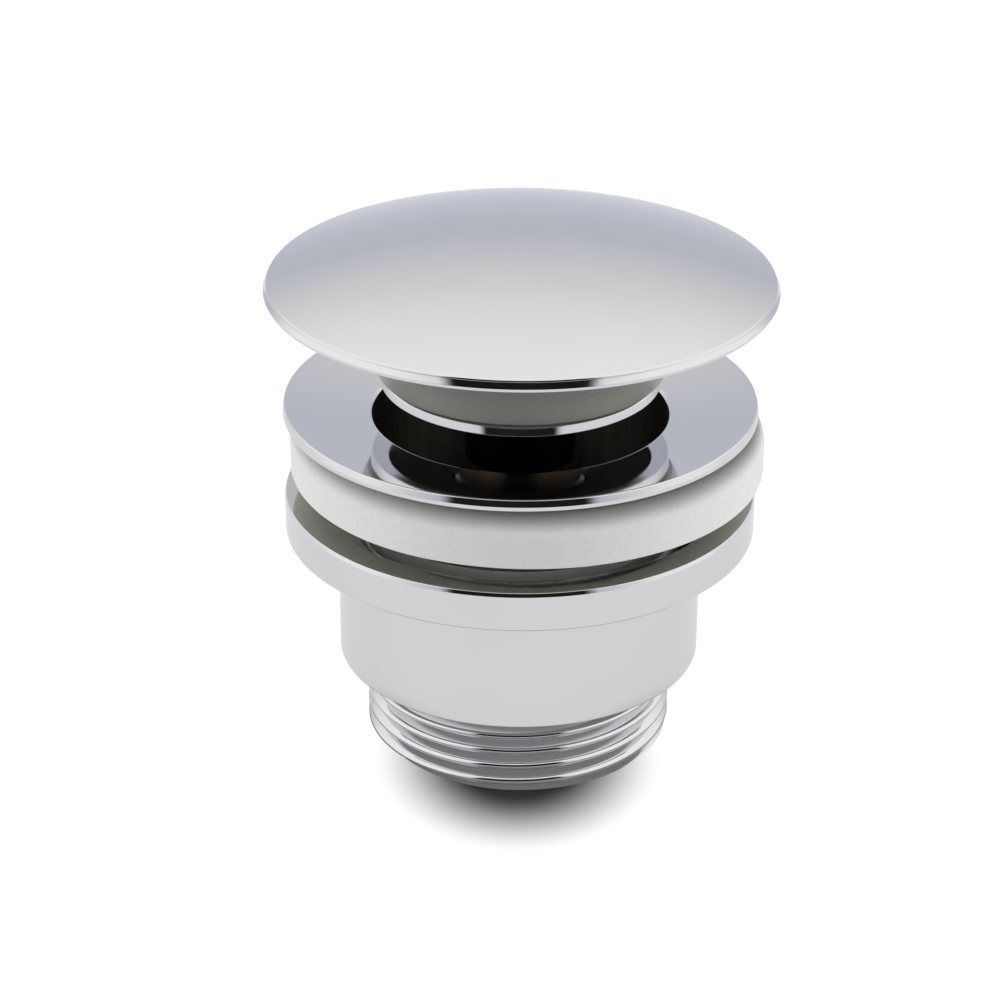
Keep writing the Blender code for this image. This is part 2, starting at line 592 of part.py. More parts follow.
def make_return_spring(parent):
    """Compression spring with a closed coil at each end, as one swept wire."""
    points_per_turn = 12
    count = int(round(SPRING_TURNS * points_per_turn))
    low = SPRING_BOTTOM + SPRING_WIRE_RADIUS
    high = SPRING_TOP - SPRING_WIRE_RADIUS
    end_rise = 2.0 * SPRING_WIRE_RADIUS + SPRING_CLOSED_COIL_GAP
    active_rise = (high - low - 2.0 * end_rise) / (SPRING_TURNS - 2.0)
    curve = bpy.data.curves.new("return_spring", "CURVE")
    curve.dimensions = "3D"
    curve.bevel_depth = SPRING_WIRE_RADIUS
    curve.bevel_resolution = 1
    curve.use_fill_caps = True
    wire = curve.splines.new("POLY")
    wire.points.add(count)
    for index in range(count + 1):
        turns = index / points_per_turn
        end_turns = min(turns, 1.0) + max(turns - (SPRING_TURNS - 1.0), 0.0)
        height = low + end_rise * end_turns + active_rise * (turns - end_turns)
        angle = math.tau * turns
        wire.points[index].co = (SPRING_RADIUS * math.cos(angle), SPRING_RADIUS * math.sin(angle), height, 1.0)
    curve.materials.append(stainless("return_spring"))
    spring = bpy.data.objects.new("return_spring", curve)
    bpy.context.scene.collection.objects.link(spring)
    return hang(spring, parent)


def make_spring_cup(parent):
    outer = SPRING_RADIUS + SPRING_WIRE_RADIUS + FIT_GAP
    material = acetal("spring_cup")
    cup = ring("spring_cup", DRUM_BORE_RADIUS, outer, SPRING_CUP_BOTTOM, SPRING_CUP_THICKNESS, material)
    return hang(cup, parent)


def track_corners():
    """Where the zigzag turns, as (arc length round the drum, height), seen from the drum."""
    heights = (0.0, STROKE, STROKE - LATCH_DROP, STROKE)
    leg_run = LEG_ANGLE * DRUM_RADIUS
    legs = INDEX_REPEATS * LEGS_PER_REPEAT
    return [(leg_run * leg, TRACK_START + heights[leg % LEGS_PER_REPEAT]) for leg in range(-1, legs + 2)]


def track_edge(corners, place, side):
    """Height of the track's upper (+1) or lower (-1) edge: a pin of the track's width rolled along the zigzag."""
    heights = []
    for (start, low), (end, high) in zip(corners, corners[1:]):
        slope = (high - low) / (end - start)
        touch = place + side * TRACK_HALF_WIDTH * slope / math.hypot(1.0, slope)
        touch = min(max(touch, start), end)
        offset = place - touch
        if abs(offset) < TRACK_HALF_WIDTH:
            heights.append(low + slope * (touch - start) + side * math.sqrt(TRACK_HALF_WIDTH ** 2 - offset ** 2))
    return side * max(side * height for height in heights)


def track_cutter(name):
    """The whole closed zigzag as one band round the drum."""
    floor = DRUM_RADIUS - TRACK_DEPTH
    crown = DRUM_RADIUS + TRACK_DEPTH
    corners = track_corners()
    count = INDEX_REPEATS * LEGS_PER_REPEAT * SECTIONS_PER_LEG
    build = bmesh.new()
    sections = []
    for index in range(count):
        turn = LEG_ANGLE * index / SECTIONS_PER_LEG
        low = track_edge(corners, turn * DRUM_RADIUS, -1)
        high = track_edge(corners, turn * DRUM_RADIUS, 1)
        angle = PIN_ANGLE - turn
        outline = ((floor, low), (floor, high), (crown, high), (crown, low))
        sections.append([build.verts.new((r * math.cos(angle), r * math.sin(angle), z)) for r, z in outline])
    for one, other in zip(sections, sections[1:] + sections[:1]):
        for a, b, c, d in zip(one, one[1:] + one[:1], other[1:] + other[:1], other):
            build.faces.new((a, b, c, d))
    return as_object(name, build, None)


def make_index_drum(parent):
    """Drum with the zigzag track that turns it one step at each press and each release."""
    profile = [
        (DRUM_BORE_RADIUS, DRUM_BOTTOM),
        (DRUM_RADIUS - EDGE_CHAMFER, DRUM_BOTTOM),
        (DRUM_RADIUS, DRUM_BOTTOM + EDGE_CHAMFER),
        (DRUM_RADIUS, DRUM_TOP - EDGE_CHAMFER),
        (DRUM_RADIUS - EDGE_CHAMFER, DRUM_TOP),
        (DRUM_BORE_RADIUS, DRUM_TOP),
    ]
    drum = turned("index_drum", profile, acetal("index_drum"), SMALL_SEGMENTS)
    combine(drum, track_cutter("index_track"), "DIFFERENCE")
    return hang(drum, parent)


def make_spindle(parent):
    """Shank for the drum, guided rod and threaded stud for the cap, in one turning."""
    groove_floor = SHANK_RADIUS - CLIP_GROOVE_DEPTH
    groove_bottom = CLIP_BOTTOM - 0.5 * FIT_GAP
    groove_top = CLIP_BOTTOM + CLIP_THICKNESS + 0.5 * FIT_GAP
    profile = [
        (0.0, SHANK_END),
        (SHANK_RADIUS - EDGE_CHAMFER, SHANK_END),
        (SHANK_RADIUS, SHANK_END + EDGE_CHAMFER),
        (SHANK_RADIUS, groove_bottom),
        (groove_floor, groove_bottom),
        (groove_floor, groove_top),
        (SHANK_RADIUS, groove_top),
        (SHANK_RADIUS, SHOULDER),
        (SPINDLE_RADIUS - EDGE_CHAMFER, SHOULDER),
        (SPINDLE_RADIUS, SHOULDER + EDGE_CHAMFER),
        (SPINDLE_RADIUS, SPINDLE_TOP - EDGE_CHAMFER),
        (SPINDLE_RADIUS - EDGE_CHAMFER, SPINDLE_TOP),
        (STUD_RADIUS, SPINDLE_TOP),
        (STUD_RADIUS, STUD_TOP - EDGE_CHAMFER),
        (STUD_RADIUS - EDGE_CHAMFER, STUD_TOP),
        (0.0, STUD_TOP),
    ]
    return hang(turned("spindle", profile, chrome("spindle"), SMALL_SEGMENTS), parent)


def make_drum_clip(parent):
    """Clip in the shank's groove, under the spring cup."""
    inner = SHANK_RADIUS - CLIP_GROOVE_DEPTH + CLIP_PLAY
    clip = ring("drum_clip", inner, inner + CLIP_WIDTH, CLIP_BOTTOM, CLIP_THICKNESS, stainless("drum_clip"))
    return hang(clip, parent)


def make_cap(parent):
    """Domed chromed shell with a rolled rim."""
    steps = 6
    under_edge = DOME_EDGE - RIM_ROUND
    profile = [(0.0, CAP_APEX)]
    profile += [(DOME_EDGE * step / steps, dome_top(DOME_EDGE * step / steps)) for step in range(1, steps)]
    profile += arc(DOME_EDGE, RIM_CENTRE, RIM_ROUND, 80, -90, 4)
    under = [(under_edge * step / steps, dome_underside(under_edge * step / steps)) for step in range(steps + 1)]
    profile += list(reversed(under))
    return hang(turned("cap_dome", profile, chrome("cap_dome")), parent)


def make_cap_boss(parent):
    """Brass boss, brazed under the dome: thread for the spindle and ring nut, and a bell over the sleeve."""
    hole_radius = STUD_RADIUS + FIT_GAP
    hole_top = STUD_TOP + BOSS_HOLE_END_ROOM
    shoulder_radius = BOSS_RADIUS + BOSS_SHOULDER_STEP
    profile = [
        (hole_radius, PLUG_BOTTOM),
        (BELL_BORE_RADIUS, PLUG_BOTTOM),
        (BELL_BORE_RADIUS, BELL_BOTTOM),
        (BELL_RADIUS, BELL_BOTTOM),
        (BELL_RADIUS, PLUG_BOTTOM),
        (BOSS_RADIUS, PLUG_BOTTOM),
        (BOSS_RADIUS, BOSS_SHOULDER),
        (shoulder_radius, BOSS_SHOULDER),
        (shoulder_radius, dome_underside(shoulder_radius) - FIT_GAP),
        (0.5 * shoulder_radius, dome_underside(0.5 * shoulder_radius) - FIT_GAP),
        (0.0, dome_underside(0.0) - FIT_GAP),
        (0.0, hole_top),
        (hole_radius, hole_top),
    ]
    return hang(turned("cap_boss", profile, bare_brass("cap_boss"), SMALL_SEGMENTS), parent)


def seal_outside(share):
    """Outside of the seal's flare, from its base (0) to the lip under the dome (1)."""
    rise = dome_underside(SEAL_LIP_RADIUS) - FIT_GAP - SEAL_BOTTOM
    radius = SEAL_BASE_RADIUS + SEAL_FLARE * share + 4.0 * SEAL_BOW * share * (1.0 - share)
    return radius, SEAL_BOTTOM + rise * share


def make_plug_seal(parent):
    """Soft conical seal: a flat base under the boss's shoulder and a flared wall up to the dome."""
    steps = 4
    outside = [seal_outside(step / steps) for step in range(steps + 1)]
    inside = [(radius - SEAL_WALL, height) for radius, height in outside[1:]]
    base_top = SEAL_BOTTOM + SEAL_WALL
    base_corner = SEAL_BASE_RADIUS - SEAL_WALL
    profile = [(BOSS_BORE_RADIUS, SEAL_BOTTOM)] + outside
    profile += list(reversed(inside))
    profile += [(base_corner, base_top), (BOSS_BORE_RADIUS, base_top)]
    return hang(turned("plug_seal", profile, silicone("plug_seal")), parent)


def make_ring_nut(parent):
    """Chromed ring nut that is screwed on the boss and clamps the seal."""
    top_radius = RING_NUT_RADIUS + RING_NUT_FLARE
    profile = [
        (BOSS_BORE_RADIUS, PLUG_BOTTOM),
        (RING_NUT_RADIUS - RING_NUT_EDGE, PLUG_BOTTOM),
        (RING_NUT_RADIUS, PLUG_BOTTOM + RING_NUT_EDGE),
        (top_radius, RING_NUT_TOP - RING_NUT_EDGE),
        (top_radius - RING_NUT_EDGE, RING_NUT_TOP),
        (BOSS_BORE_RADIUS, RING_NUT_TOP),
    ]
    return hang(turned("ring_nut", profile, chrome("ring_nut")), parent)


clear_scene()

make_lower_body()
make_thread_seal()

clamp_slide = pivot("clamp_slide", FOAM_BOTTOM)
make_foam_washer(clamp_slide)

clamp_screw = pivot("clamp_screw", FLANGE_BOTTOM, clamp_slide)
make_upper_body(clamp_screw)
make_cartridge_body(clamp_screw)
make_follower_pin(clamp_screw)
make_guide_bush(clamp_screw)
make_spindle_seal(clamp_screw)
make_lock_washer(clamp_screw)
make_lock_nut(clamp_screw)
make_end_plug(clamp_screw)
make_return_spring(clamp_screw)

cap_slide = pivot("cap_slide", SPRING_CUP_BOTTOM, clamp_screw)
make_spring_cup(cap_slide)

index_swivel = pivot("index_swivel", DRUM_BOTTOM, cap_slide)
make_index_drum(index_swivel)

cap_swivel = pivot("cap_swivel", SHANK_END, cap_slide)
make_spindle(cap_swivel)
make_drum_clip(cap_swivel)
make_cap(cap_swivel)
make_cap_boss(cap_swivel)
make_plug_seal(cap_swivel)
make_ring_nut(cap_swivel)
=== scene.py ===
import math

import bmesh
import bpy
from mathutils import Matrix, Vector, noise


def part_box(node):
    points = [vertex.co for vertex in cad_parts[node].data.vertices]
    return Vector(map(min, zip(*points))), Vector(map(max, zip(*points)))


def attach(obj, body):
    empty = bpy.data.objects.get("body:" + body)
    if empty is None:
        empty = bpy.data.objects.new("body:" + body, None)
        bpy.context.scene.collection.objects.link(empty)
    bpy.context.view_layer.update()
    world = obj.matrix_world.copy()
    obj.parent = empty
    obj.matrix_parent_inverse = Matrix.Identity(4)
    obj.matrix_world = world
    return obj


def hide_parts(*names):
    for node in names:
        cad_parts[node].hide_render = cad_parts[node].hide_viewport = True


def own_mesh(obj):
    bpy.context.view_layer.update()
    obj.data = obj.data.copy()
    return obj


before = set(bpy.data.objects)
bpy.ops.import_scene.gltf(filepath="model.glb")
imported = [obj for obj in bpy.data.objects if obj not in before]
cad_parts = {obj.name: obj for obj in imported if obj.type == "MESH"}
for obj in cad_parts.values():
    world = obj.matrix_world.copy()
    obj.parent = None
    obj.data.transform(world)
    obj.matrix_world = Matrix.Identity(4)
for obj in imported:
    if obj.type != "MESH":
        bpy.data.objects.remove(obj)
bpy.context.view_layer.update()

# Camera of the photograph: a long lens a little above the waste, looking down on it from in front.
# Its place, its tilt and its slight roll were fitted to the outlines of the coaxial circles.
MM = 0.001
CAMERA_BACK = 361.79 * MM
CAMERA_UP = 212.67 * MM
CAMERA_PITCH = math.radians(26.321)
CAMERA_YAW = math.radians(0.425)
CAMERA_ROLL = math.radians(0.312)
CAMERA_FOCAL_LENGTH = 106.64
CAMERA_NEAREST = 10.0 * MM
lens = bpy.data.cameras.new("front_camera")
lens.sensor_width = 36.0
lens.lens = CAMERA_FOCAL_LENGTH
lens.clip_start = CAMERA_NEAREST
camera = bpy.data.objects.new("front_camera", lens)
bpy.context.scene.collection.objects.link(camera)
camera_place = Matrix.Translation((0.0, -CAMERA_BACK, CAMERA_UP)) @ Matrix.Rotation(CAMERA_YAW, 4, "Z")
camera_tilt = Matrix.Rotation(0.5 * math.pi - CAMERA_PITCH, 4, "X") @ Matrix.Rotation(CAMERA_ROLL, 4, "Z")
camera.matrix_world = camera_place @ camera_tilt
bpy.context.scene.camera = camera


# Light tent: white cloth all round, cooler and darker low at the back, brightest overhead and at the sides,
# with an open front that the chrome mirrors as a dark band. The camera itself sees white beyond the table.
class Value:
    """A number that changes over a surface; sums and products with it add their Math nodes."""

    def __init__(self, shading, socket):
        self.shading = shading
        self.socket = socket

    def math(self, operation, first, second):
        return self.shading.node("ShaderNodeMath", {"operation": operation}, {0: first, 1: second})

    def __add__(self, other):
        return self.math("ADD", self, other)

    def __radd__(self, other):
        return self.math("ADD", other, self)

    def __sub__(self, other):
        return self.math("SUBTRACT", self, other)

    def __rsub__(self, other):
        return self.math("SUBTRACT", other, self)

    def __mul__(self, other):
        return self.math("MULTIPLY", self, other)

    def __rmul__(self, other):
        return self.math("MULTIPLY", other, self)

    def __truediv__(self, other):
        return self.math("DIVIDE", self, other)

    def size(self):
        return self.math("ABSOLUTE", self, 0.0)

    def at_least(self, other):
        return self.math("MAXIMUM", self, other)

    def rise(self, start, end):
        """Smooth step from 0 at start to 1 at end; it falls instead where start is the larger."""
        sockets = {"Value": self, "From Min": min(start, end), "From Max": max(start, end)}
        step = self.shading.node("ShaderNodeMapRange", {"interpolation_type": "SMOOTHSTEP"}, sockets)
        return 1.0 - step if start > end else step


class Shading:
    """The nodes of one material, or of the world."""

    def __init__(self, tree):
        self.tree = tree

    def node(self, kind, settings, sockets, output=0):
        item = self.tree.nodes.new(kind)
        for name, setting in settings.items():
            if name == "stops":
                elements = item.color_ramp.elements
                while len(elements) < len(setting):
                    elements.new(0.5)
                for element, (position, colour) in zip(elements, setting):
                    element.position = position
                    element.color = colour
            else:
                setattr(item, name, setting)
        for name, value in sockets.items():
            self.feed(item.inputs[name], value)
        return Value(self, item.outputs[output])

    def feed(self, socket, value):
        if isinstance(value, Value):
            self.tree.links.new(value.socket, socket)
        else:
            socket.default_value = value

    def mix(self, share, first, second):
        """A colour between the first and the second."""
        return self.node("ShaderNodeMix", {"data_type": "RGBA"}, {0: share, 6: first, 7: second}, 2)

    def place(self):
        """Where a point lies on its own piece."""
        return self.node("ShaderNodeTexCoord", {}, {}, "Object")

    def ray(self, kind):
        """1 where the light path is of that kind, else 0."""
        return self.node("ShaderNodeLightPath", {}, {}, kind)

    def along(self, axis, vector):
        return self.node("ShaderNodeSeparateXYZ", {}, {0: vector}, axis)

    def scaled(self, vector, factors):
        return self.node("ShaderNodeVectorMath", {"operation": "MULTIPLY"}, {0: vector, 1: factors})

    def moved(self, vector, step):
        return self.node("ShaderNodeVectorMath", {"operation": "ADD"}, {0: vector, 1: step})

    def length(self, vector):
        return self.node("ShaderNodeVectorMath", {"operation": "LENGTH"}, {0: vector}, "Value")

    def clouds(self, place, scale, detail=2.0):
        """Soft noise from 0 to 1."""
        return self.node("ShaderNodeTexNoise", {}, {"Vector": place, "Scale": scale, "Detail": detail}, "Fac")

    def cells(self, place, scale):
        """The distance from the middle of the nearest cell."""
        return self.node("ShaderNodeTexVoronoi", {}, {"Vector": place, "Scale": scale}, "Distance")


def grey(level, blue=0.0):
    """A grey in linear light, with a little more or less blue in it."""
    return (level - 0.3 * blue, level, level + blue, 1.0)


# The cloth's colour goes by height plus sideways squared, both as parts of a direction of length 1.
CLOTH_LOWEST = -0.2
CLOTH_BY_HEIGHT = [
    (-0.17, grey(0.70, 0.06)),
    (0.05, grey(0.62, 0.065)),
    (0.22, grey(0.58, 0.055)),
    (0.37, grey(0.575, 0.055)),
    (0.48, grey(0.635, 0.03)),
    (0.59, grey(0.71, 0.0)),
    (0.70, grey(0.80, -0.01)),
    (0.84, grey(0.92, -0.02)),
    (1.0, grey(1.0, -0.02)),
]
SCATTERED_SHARE = 0.5
# Each edge of the opening goes from all cloth to all dark between two such parts.
OPENING_SIDES = (0.76, 0.56)
OPENING_FOOT = (-0.16, -0.08)
OPENING_HEAD = (0.84, 0.70)
OPENING_DEPTH = (0.1, 0.3)
BLACK = (0.0, 0.0, 0.0, 1.0)
WHITE = (1.0, 1.0, 1.0, 1.0)
DARK_ROOM = (0.012, 0.011, 0.010, 1.0)
world = bpy.data.worlds.new("light_tent")
bpy.context.scene.world = world
world.use_nodes = True
tent = Shading(world.node_tree)
direction = tent.node("ShaderNodeTexCoord", {}, {}, "Generated")
sideways = tent.along("X", direction)
forwards = 0.0 - tent.along("Y", direction)
upwards = tent.along("Z", direction)
cloth_span = 1.0 - CLOTH_LOWEST
cloth_stops = [((level - CLOTH_LOWEST) / cloth_span, colour) for level, colour in CLOTH_BY_HEIGHT]
cloth_level = (upwards + sideways * sideways - CLOTH_LOWEST) * (1.0 / cloth_span)
cloth = tent.node("ShaderNodeValToRGB", {"stops": cloth_stops}, {0: cloth_level})
opening_width = (sideways.size() / forwards.at_least(0.05)).rise(*OPENING_SIDES)
opening_height = upwards.rise(*OPENING_FOOT) * upwards.rise(*OPENING_HEAD)
opening = opening_width * opening_height * forwards.rise(*OPENING_DEPTH)
mirrored = tent.mix(opening, cloth, DARK_ROOM)
scattered = tent.mix(SCATTERED_SHARE, BLACK, cloth)
reflected_or_scattered = tent.mix(tent.ray("Is Glossy Ray"), scattered, mirrored)
tent_light = tent.mix(tent.ray("Is Camera Ray"), reflected_or_scattered, WHITE)
tent.feed(world.node_tree.nodes["Background"].inputs["Color"], tent_light)


def soft_box(name, place, size, watts):
    """A diffusing panel outside the tent, turned to the waste; its own shape stays out of the chrome."""
    panel = bpy.data.lights.new(name, "AREA")
    panel.shape = "SQUARE"
    panel.size = size
    panel.energy = watts
    lamp = bpy.data.objects.new(name, panel)
    lamp.location = place
    lamp.rotation_mode = "QUATERNION"
    lamp.rotation_quaternion = (-Vector(place)).to_track_quat("-Z", "Y")
    lamp.visible_glossy = False
    bpy.context.scene.collection.objects.link(lamp)


soft_box("overhead_panel", (0.0, 0.05, 0.95), 0.50, 3.0)
soft_box("left_panel", (-0.75, -0.15, 0.30), 0.40, 2.4)
soft_box("right_panel", (0.75, -0.15, 0.30), 0.40, 2.6)
bpy.context.scene.view_settings.view_transform = "Standard"

# Table: a round top of frosted white glass that glows like a light table, with a painted shadow round the
# waste. The camera sees it as plain white further out, the chrome mirrors it darker, and the shadow is
# painted close round the waste.
TABLE_RADIUS = 320.0 * MM
SHADOW_BEHIND = (0.0, 12.0 * MM, 0.0)
# The camera and the chrome each see their own painted shadow: no glow inside its core, all of it past its
# edge.
SEEN_SHADOW_SQUEEZE = 1.26
SEEN_SHADOW_CORE = 9.5 * MM
SEEN_SHADOW_EDGE = 26.0 * MM
SEEN_GLOW = 0.92
MIRRORED_SHADOW_SQUEEZE = 0.78
MIRRORED_SHADOW_CORE = 24.0 * MM
MIRRORED_SHADOW_EDGE = 34.0 * MM
MIRRORED_GLOW_LEAST = 0.13
MIRRORED_GLOW_MORE = 0.475
table_build = bmesh.new()
bmesh.ops.create_circle(table_build, cap_ends=True, segments=96, radius=TABLE_RADIUS)
table_mesh = bpy.data.meshes.new("table_top")
table_build.to_mesh(table_mesh)
table_build.free()
table = bpy.data.objects.new("table_top", table_mesh)
bpy.context.scene.collection.objects.link(table)
table_white = bpy.data.materials.new("table_white")
table_white.use_nodes = True
table_mesh.materials.append(table_white)
table_shader = table_white.node_tree.nodes["Principled BSDF"]
table_shader.inputs["Roughness"].default_value = 0.75
table_shader.inputs["Specular IOR Level"].default_value = 0.15
table_shader.inputs["Emission Color"].default_value = grey(1.0)
top = Shading(table_white.node_tree)
top_place = top.place()
top_seen = top.ray("Is Camera Ray")


def from_shadow(squeeze):
    """Distance from the middle of the painted shadow, which is squeezed that many times from left and right.
    """
    return top.length(top.moved(top.scaled(top_place, (squeeze, 1.0, 1.0)), SHADOW_BEHIND))


# Painted shadow in the glow: the table's emission is held off inside the core and rises to full past the
# edge.
from_seen_shadow = from_shadow(SEEN_SHADOW_SQUEEZE)
seen_glow = SEEN_GLOW * from_seen_shadow.rise(SEEN_SHADOW_CORE, SEEN_SHADOW_EDGE)
mirrored_rise = from_shadow(MIRRORED_SHADOW_SQUEEZE).rise(MIRRORED_SHADOW_CORE, MIRRORED_SHADOW_EDGE)
mirrored_glow = MIRRORED_GLOW_LEAST + MIRRORED_GLOW_MORE * mirrored_rise
glow = top_seen * seen_glow + (1.0 - top_seen) * mirrored_glow
top.feed(table_shader.inputs["Emission Strength"], glow)
lit_glass = top.mix(top.clouds(top_place, 9.0), grey(0.17), grey(0.20))
# Painted shadow: close round the waste, the camera sees the glass's base colour darkened to near black.
shadowed = top_seen * from_seen_shadow.rise(SEEN_SHADOW_EDGE, SEEN_SHADOW_CORE)
top.feed(table_shader.inputs["Base Color"], top.mix(shadowed, lit_glass, grey(0.05)))


# Lower body: one turning in brass, polished and chrome-plated: the tail that takes the trap's nut, the
# plain shell, and the stepped rim that is screwed up against the basin from below.
def rounded(corners, steps=5):
    """The outline through (radius, height, fillet) corners, with each corner rounded by its own fillet."""
    points = []
    for index, (radius, height, fillet) in enumerate(corners):
        if fillet == 0.0:
            points.append((radius, height))
            continue
        here = Vector((radius, height))
        before = (Vector(corners[index - 1][:2]) - here).normalized()
        after = (Vector(corners[(index + 1) % len(corners)][:2]) - here).normalized()
        half_corner = 0.5 * before.angle(after)
        centre = here + (before + after).normalized() * (fillet / math.sin(half_corner))
        first = here + before * (fillet / math.tan(half_corner)) - centre
        last = here + after * (fillet / math.tan(half_corner)) - centre
        for step in range(steps + 1):
            spoke = first.lerp(last, step / steps).normalized() * fillet
            points.append(tuple(centre + spoke))
    return points


def spun(outline, facets):
    """An outline turned once round the waste's axis."""
    build = bmesh.new()
    corners = [build.verts.new((radius, 0.0, height)) for radius, height in outline]
    sides = zip(corners, corners[1:] + corners[:1])
    edges = [build.edges.new((a, b)) for a, b in sides if a.co.x > 0.0 or b.co.x > 0.0]
    bmesh.ops.spin(
        build, geom=corners + edges, cent=(0.0, 0.0, 0.0), axis=(0.0, 0.0, 1.0), angle=math.tau,
        steps=facets, use_merge=True,
    )
    return build


SHARP_ANGLE = math.radians(32.0)
WELD = 0.0005 * MM


def finished(mesh):
    mesh.shade_smooth()
    mesh.set_sharp_from_angle(angle=SHARP_ANGLE)


def settled(work):
    """Keep what the piece's modifiers made as its own mesh."""
    bpy.context.view_layer.update()
    result = bpy.data.meshes.new_from_object(work.evaluated_get(bpy.context.evaluated_depsgraph_get()))
    work.modifiers.clear()
    work.data = result


def polished(work):
    """Let each broad face lead the shine into the narrow rounding beside it, as polishing does."""
    step = work.modifiers.new("even_shine", "WEIGHTED_NORMAL")
    step.keep_sharp = True
    settled(work)


def piece(name, build, material=None):
    bmesh.ops.remove_doubles(build, verts=build.verts, dist=WELD)
    bmesh.ops.recalc_face_normals(build, faces=build.faces)
    mesh = bpy.data.meshes.new(name)
    build.to_mesh(mesh)
    build.free()
    finished(mesh)
    if material is not None:
        mesh.materials.append(material)
    item = bpy.data.objects.new(name, mesh)
    bpy.context.scene.collection.objects.link(item)
    return item


FINE_FACETS = 192
LARGE_FACETS = 144
SMALL_FACETS = 96


def turning(name, corners, material=None, facets=LARGE_FACETS):
    return piece(name, spun(rounded(corners), facets), material)


def machine(work, tool, operation):
    """Cut or join a piece with a tool, keep the result as the piece's own mesh and put the tool away."""
    step = work.modifiers.new("machining", "BOOLEAN")
    step.operation = operation
    step.solver = "EXACT"
    step.object = tool
    settled(work)
    finished(work.data)
    bpy.data.objects.remove(tool)


# A groove's section, in parts of the pitch; each crest break has its lean and its width.
ROOT_STEPS = 3
ROOT_TURN = math.radians(60.5)
ROOT_ROUNDING = 0.05
GROOVE_HALF_WIDTH = 0.487
CREST_BREAKS = ((math.radians(25.0), 0.105), (math.radians(46.0), 0.15))


def groove(name, crest, root, pitch, low, high, start_turn, facets=LARGE_FACETS):
    """A thread's helical groove as one bar wound on the axis, with a rounded root and broken crests."""
    half = []
    for step in range(ROOT_STEPS + 1):
        turn = ROOT_TURN * step / ROOT_STEPS
        depth = ROOT_ROUNDING * pitch * (1.0 - math.cos(turn))
        half.append((root + depth, ROOT_ROUNDING * pitch * math.sin(turn)))
    crest_faces = [(crest, GROOVE_HALF_WIDTH * pitch)]
    for lean, width in CREST_BREAKS:
        radius, offset = crest_faces[-1]
        crest_faces.append((radius - width * pitch * math.sin(lean), offset - width * pitch * math.cos(lean)))
    half += reversed(crest_faces)
    half.append((crest + ROOT_ROUNDING * pitch, half[-1][1]))
    section = half + [(radius, -offset) for radius, offset in reversed(half[1:])]
    place = Matrix.Translation((0.0, 0.0, low)) @ Matrix.Rotation(math.tau * start_turn, 4, "Z")
    build = bmesh.new()
    corners = [build.verts.new(place @ Vector((radius, 0.0, offset))) for radius, offset in section]
    face = build.faces.new(corners)
    move = Matrix.Translation((0.0, 0.0, pitch / facets)) @ Matrix.Rotation(math.tau / facets, 4, "Z")
    passed = []
    for _ in range(int((high - low) / pitch * facets)):
        grown = bmesh.ops.extrude_face_region(build, geom=[face])
        face = next(part for part in grown["geom"] if isinstance(part, bmesh.types.BMFace))
        bmesh.ops.transform(build, matrix=move, verts=face.verts)
        passed.append(face)
    bmesh.ops.delete(build, geom=passed[:-1], context="FACES_ONLY")
    return piece(name, build)


MICRON = 0.001 * MM


def finish(name, colour, roughness, metallic):
    """A new material, its shader, its shading and the place of a point on the piece."""
    material = bpy.data.materials.new(name)
    material.use_nodes = True
    shader = material.node_tree.nodes["Principled BSDF"]
    shader.inputs["Base Color"].default_value = (*colour, 1.0)
    shader.inputs["Roughness"].default_value = roughness
    shader.inputs["Metallic"].default_value = metallic
    shading = Shading(material.node_tree)
    return material, shader, shading, shading.place()


def cover(shader, shading, colour, roughness, relief, depth):
    """What changes over a surface: its relief, a value from 0 to 1, stands up by that depth in metres."""
    normal = shading.node("ShaderNodeBump", {}, {"Strength": 1.0, "Distance": depth, "Height": relief})
    for socket, value in (("Base Color", colour), ("Roughness", roughness), ("Normal", normal)):
        shading.feed(shader.inputs[socket], value)


def chrome_plate(name):
    """Chrome on polished brass: wiping marks in the shine, dried water spots and slight waves."""
    material, shader, shading, place = finish(name, (0.78, 0.79, 0.81), 0.04, 1.0)
    wiping = shading.clouds(place, 85.0, 4.0)
    spots = shading.cells(place, 210.0).rise(0.10, 0.04)
    waves = shading.clouds(place, 160.0, 1.0)
    tint = shading.mix(wiping, (0.76, 0.77, 0.795, 1.0), (0.80, 0.805, 0.82, 1.0))
    roughness = 0.04 + 0.05 * wiping.rise(0.35, 0.8) + 0.06 * spots
    cover(shader, shading, tint, roughness, waves, 1.2 * MICRON)
    return material


def thin_plate(name):
    """Inside, where little chrome reaches in the bath, the nickel under it shows warm and less bright."""
    material, shader, shading, place = finish(name, (0.74, 0.73, 0.67), 0.12, 1.0)
    cloud = shading.clouds(place, 120.0, 3.0)
    haze = shading.clouds(place, 1300.0)
    tint = shading.mix(cloud, (0.71, 0.70, 0.64, 1.0), (0.77, 0.76, 0.70, 1.0))
    cover(shader, shading, tint, 0.05 + 0.06 * cloud + 0.03 * haze, haze, 1.5 * MICRON)
    return material


def painted_bore_shade(name):
    """Deep in the bore and under the cap: unplated brass whose colour is painted down to near black as shade,
    matt, with upright streaks.
    """
    material, shader, shading, place = finish(name, (0.08, 0.07, 0.06), 0.7, 0.0)
    shader.inputs["Specular IOR Level"].default_value = 0.05
    streaks = shading.clouds(shading.scaled(place, (1.0, 1.0, 0.03)), 700.0, 3.0)
    tint = shading.mix(streaks, (0.045, 0.042, 0.040, 1.0), (0.12, 0.10, 0.08, 1.0))
    cover(shader, shading, tint, 0.6 + 0.3 * streaks, streaks, 10.0 * MICRON)
    return material


def faced(work, material, lies_there):
    """Give another finish to the faces whose centre, as radius and height, passes the test."""
    work.data.materials.append(material)
    slot = len(work.data.materials) - 1
    for face in work.data.polygons:
        if lies_there(face.center.xy.length, face.center.z):
            face.material_index = slot


